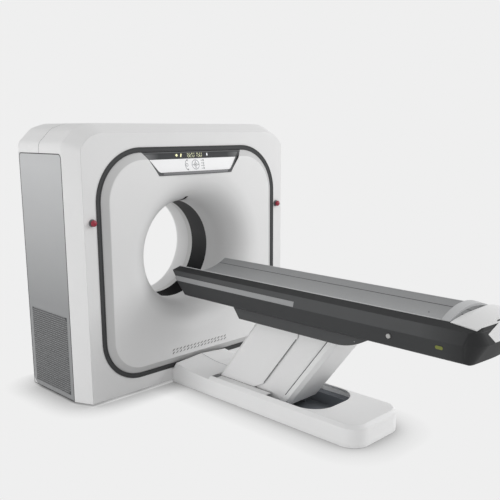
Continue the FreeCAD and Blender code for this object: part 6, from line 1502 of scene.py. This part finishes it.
# %% [markdown]
# A thin seam runs along the middle of the plinth's nose, from the gantry to the column, and a
# dark slot crosses the hood's end. Both lie on curved covers. Each is a flat grid first, and
# then every vertex is dropped onto the cover by a ray, so the drawing follows its surface.

# %% Marks laid on curved covers
SEAM_W = 0.0016
SEAM_FRONT_Y = -0.400
SEAM_REAR_Y = -0.735
SEAM_ABOVE_Z = 0.2
SEAM_PROUD = 0.0004
SLOT_HALF_W = 0.0775
SLOT_HALF_H = 0.0038
SLOT_Z = 0.8395
SLOT_BEFORE_Y = -2.7
SLOT_PROUD = 0.0005


def drop_onto(bm, node, way, proud):
    """Moves each vertex along an axis until it stands just proud of a node's surface."""
    piece = frame["nodes"][node]
    way = Vector(way)
    for vert in bm.verts:
        hit, place, _, _ = piece.ray_cast(vert.co - way, way)
        if not hit:
            raise ValueError("nothing of " + node + " lies under a vertex")
        vert.co = place - way * proud


bm = bmesh.new()
bmesh.ops.create_grid(bm, x_segments=2, y_segments=24, size=1.0)
bmesh.ops.scale(bm, vec=(SEAM_W, (SEAM_FRONT_Y - SEAM_REAR_Y) / 2, 1), verts=bm.verts)
bmesh.ops.translate(bm, vec=(0, (SEAM_FRONT_Y + SEAM_REAR_Y) / 2, SEAM_ABOVE_Z), verts=bm.verts)
drop_onto(bm, "table_base_cover", (0, 0, -1), SEAM_PROUD)
keep("nose_seam", bm, "symbol_grey", "machine_base")
bm = bmesh.new()
bmesh.ops.create_grid(bm, x_segments=16, y_segments=2, size=1.0)
round_corners(bm, [v for v in bm.verts if len(v.link_edges) == 2], 0.05, 3)
bmesh.ops.scale(bm, vec=(SLOT_HALF_W, SLOT_HALF_H, 1), verts=bm.verts)
move(bm, facing((0, SLOT_BEFORE_Y, SLOT_Z), (0, -1, 0)))
drop_onto(bm, "tail_cover", (0, 1, 0), SLOT_PROUD)
keep("hood_slot", bm, "seal_rubber", "table_top")

# %% [markdown]
# The column stands in a pocket of the plinth. On both sides a pale apron closes the gap between
# the pocket's rim and the column, and a rubber lip at its edge wipes the sliding covers. The
# covers keep their width as they swing, so an apron outside that width is clear at every height.

# %% Aprons beside the column
APRON_TOP_Z = 0.1288
APRON_LOW_Z = 0.1258
APRON_OUT_X = 0.2056
APRON_IN_X = COLUMN_HALF + 0.0035
APRON_END_Y = -0.7425
APRON_FRONT_Y = -0.790
APRON_REAR_Y = -1.230
APRON_LIP_W = 0.003
APRON_ROUND = 0.0008
APRON_Z = (APRON_LOW_Z, APRON_TOP_Z)
for name, finish_name, x_reach, y_reach in (
        ("column_aprons", "column_white", (APRON_IN_X, APRON_OUT_X),
         (APRON_REAR_Y, APRON_FRONT_Y)),
        ("apron_ends", "collar_grey", (APRON_IN_X, APRON_OUT_X), (APRON_FRONT_Y, APRON_END_Y)),
        ("apron_lips", "seal_rubber", (APRON_IN_X - APRON_LIP_W, APRON_IN_X),
         (APRON_REAR_Y, APRON_END_Y))):
    keep(name, block_pair(x_reach, y_reach, APRON_Z, APRON_ROUND), finish_name, "machine_base")

# %% [markdown]
# Inside, rings of bolts hold the bearing and the drum together. The covers hide them in use, and
# a fitter sees them once the covers are off. One helper spreads equal screws round the axis.

# %% Bolt rings
BOLT_COUNT = 24
BOLT_R = 0.008
BEARING_BOLTS_R = 0.462
BEARING_FACE_Y = side("bearing_outer_ring", 1, False)
DRUM_BOLTS_R = 0.404
DRUM_FACE_Y = 0.090


def ring_places(radius, y):
    """Evenly spaced places on a circle round the bore's axis."""
    angles = [2 * math.pi * i / BOLT_COUNT for i in range(BOLT_COUNT)]
    return [(radius * math.cos(a), y, ISO_Z + radius * math.sin(a)) for a in angles]


for name, radius, y, body in (("bearing_bolts", BEARING_BOLTS_R, BEARING_FACE_Y, "machine_base"),
                              ("drum_bolts", DRUM_BOLTS_R, DRUM_FACE_Y, "rotor")):
    screws(name, ring_places(radius, y), (0, -1, 0), BOLT_R, "screw_dark", body)

# %% [markdown]
# The photograph's background is one pale tone. A lit floor or sky can't hold one tone, so both
# show a fixed colour to the rays that see them, and send plain light to all the others.

# %% What is seen and what gives light
BACKGROUND = colour(239, 239, 239)


def seen_directly(tree):
    """A mask that is 1 for camera, mirror and glass rays."""
    path = tree.nodes.new("ShaderNodeLightPath").outputs
    mask = math_node(tree, "MAXIMUM", path["Is Camera Ray"], path["Is Glossy Ray"])
    return math_node(tree, "MAXIMUM", mask, path["Is Transmission Ray"])


def split_view(tree, lit, shown, end):
    """Sends one shader to the rays that light the object and another to those that see it."""
    mix = tree.nodes.new("ShaderNodeMixShader")
    tree.links.new(seen_directly(tree), mix.inputs["Fac"])
    tree.links.new(lit, mix.inputs[1])
    tree.links.new(shown, mix.inputs[2])
    tree.links.new(mix.outputs["Shader"], tree.nodes[end].inputs["Surface"])


print("background renders as", [round(c, 3) for c in BACKGROUND[:3]])

# %% [markdown]
# The floor's fixed colour only darkens where the machine stands close, which an
# ambient-occlusion node finds. For all other light it is a plain matt floor.

# %% Floor
FLOOR_HALF = 30.0
FLOOR_BELOW = 0.001
FLOOR_ROUGHNESS = 0.9
SHADOW_REACH = 0.22
SHADOW_SAMPLES = 16


def studio_floor():
    """A wide pale floor that keeps the object's contact shadow."""
    bm = bmesh.new()
    bmesh.ops.create_grid(bm, x_segments=1, y_segments=1, size=FLOOR_HALF)
    bmesh.ops.translate(bm, vec=(0, 0, -FLOOR_BELOW), verts=bm.verts)
    mesh = bpy.data.meshes.new("studio_floor")
    bm.to_mesh(mesh)
    bm.free()
    floor = new_object("studio_floor", mesh)
    material = bpy.data.materials.new("studio_floor")
    material.use_nodes = True
    tree = material.node_tree
    matt = tree.nodes["Principled BSDF"]
    matt.inputs["Base Color"].default_value = BACKGROUND
    matt.inputs["Roughness"].default_value = FLOOR_ROUGHNESS
    near = tree.nodes.new("ShaderNodeAmbientOcclusion")
    near.samples = SHADOW_SAMPLES
    near.inputs["Color"].default_value = BACKGROUND
    near.inputs["Distance"].default_value = SHADOW_REACH
    shown = tree.nodes.new("ShaderNodeEmission")
    tree.links.new(near.outputs["Color"], shown.inputs["Color"])
    split_view(tree, matt.outputs["BSDF"], shown.outputs["Emission"], "Material Output")
    mesh.materials.append(material)


studio_floor()
print("the floor darkens within", SHADOW_REACH, "m of the machine")

# %% [markdown]
# The sky is white and even. It fills the shades that the lamps leave, as the walls of a bright
# room do, and its strength sets how deep those shades are.

# %% Sky
SKY_LEVEL = 0.64


def studio_world():
    """White sky: plain light on the object, and the background's colour where it is seen."""
    world = bpy.data.worlds.new("studio")
    bpy.context.scene.world = world
    world.use_nodes = True
    tree = world.node_tree
    light = tree.nodes["Background"]
    light.inputs["Color"].default_value = (1, 1, 1, 1)
    light.inputs["Strength"].default_value = SKY_LEVEL
    seen = tree.nodes.new("ShaderNodeBackground")
    seen.inputs["Color"].default_value = BACKGROUND
    split_view(tree, light.outputs["Background"], seen.outputs["Background"], "World Output")


studio_world()
print("sky strength:", SKY_LEVEL)

# %% [markdown]
# The photograph's light comes from the front and the right: the front cover is bright, the
# right-hand half of the funnel falls into soft shade. A second lamp, level with the machine and
# a little behind its front, brightens the left-hand sides without reaching into the funnel.

# %% Lamps


def lamp(name, place, aim, size, power):
    """A large square lamp that points at a spot."""
    data = bpy.data.lights.new(name, "AREA")
    data.size = size
    data.energy = power
    item = new_object(name, data)
    direction = Vector(aim) - Vector(place)
    turn = direction.to_track_quat("-Z", "Y").to_matrix().to_4x4()
    item.matrix_world = Matrix.Translation(place) @ turn
    print(name, "stands", round(direction.length, 2), "m from what it lights")


lamp("key_lamp", place=(4.8, -5.2, 4.0), aim=(0, -0.8, 0.8), size=4.0, power=200)
lamp("side_lamp", place=(-5.0, 1.2, 1.1), aim=(-0.5, -0.9, 0.5), size=2.2, power=54)

# %% [markdown]
# The camera stands where the photographer stood: its place, angle and lens were fitted to
# straight edges of the machine, and the picture's centre is moved by a small shift.

# %% Camera
CAMERA_PLACE = Vector((-3.110, -3.994, 1.714))
CAMERA_AZIMUTH = math.radians(-45.683)
CAMERA_ELEVATION = math.radians(11.692)
CAMERA_ROLL = math.radians(-0.095)
PHOTO_WIDTH = 500
FOCAL_PIXELS = 695.26
CENTRE_PIXEL = (256.6, 273.9)


def camera_matrix():
    """The camera's place and axes in the world."""
    azimuth, elevation = CAMERA_AZIMUTH, CAMERA_ELEVATION
    back = Vector((math.sin(azimuth) * math.cos(elevation),
                   -math.cos(azimuth) * math.cos(elevation), math.sin(elevation)))
    right = Vector((math.cos(azimuth), math.sin(azimuth), 0))
    axes = Matrix((right, back.cross(right), back)).transposed().to_4x4()
    return Matrix.Translation(CAMERA_PLACE) @ axes @ Matrix.Rotation(CAMERA_ROLL, 4, "Z")


data = bpy.data.cameras.new("photo_camera")
data.sensor_width = 36.0
data.lens = FOCAL_PIXELS / PHOTO_WIDTH * data.sensor_width
data.shift_x = (PHOTO_WIDTH / 2 - CENTRE_PIXEL[0]) / PHOTO_WIDTH
data.shift_y = (CENTRE_PIXEL[1] - PHOTO_WIDTH / 2) / PHOTO_WIDTH
data.clip_end = 100.0
camera = new_object("photo_camera", data)
camera.matrix_world = camera_matrix()
bpy.context.scene.camera = camera
print("lens in mm:", round(data.lens, 2))
bpy.context.scene.view_settings.view_transform = "Standard"
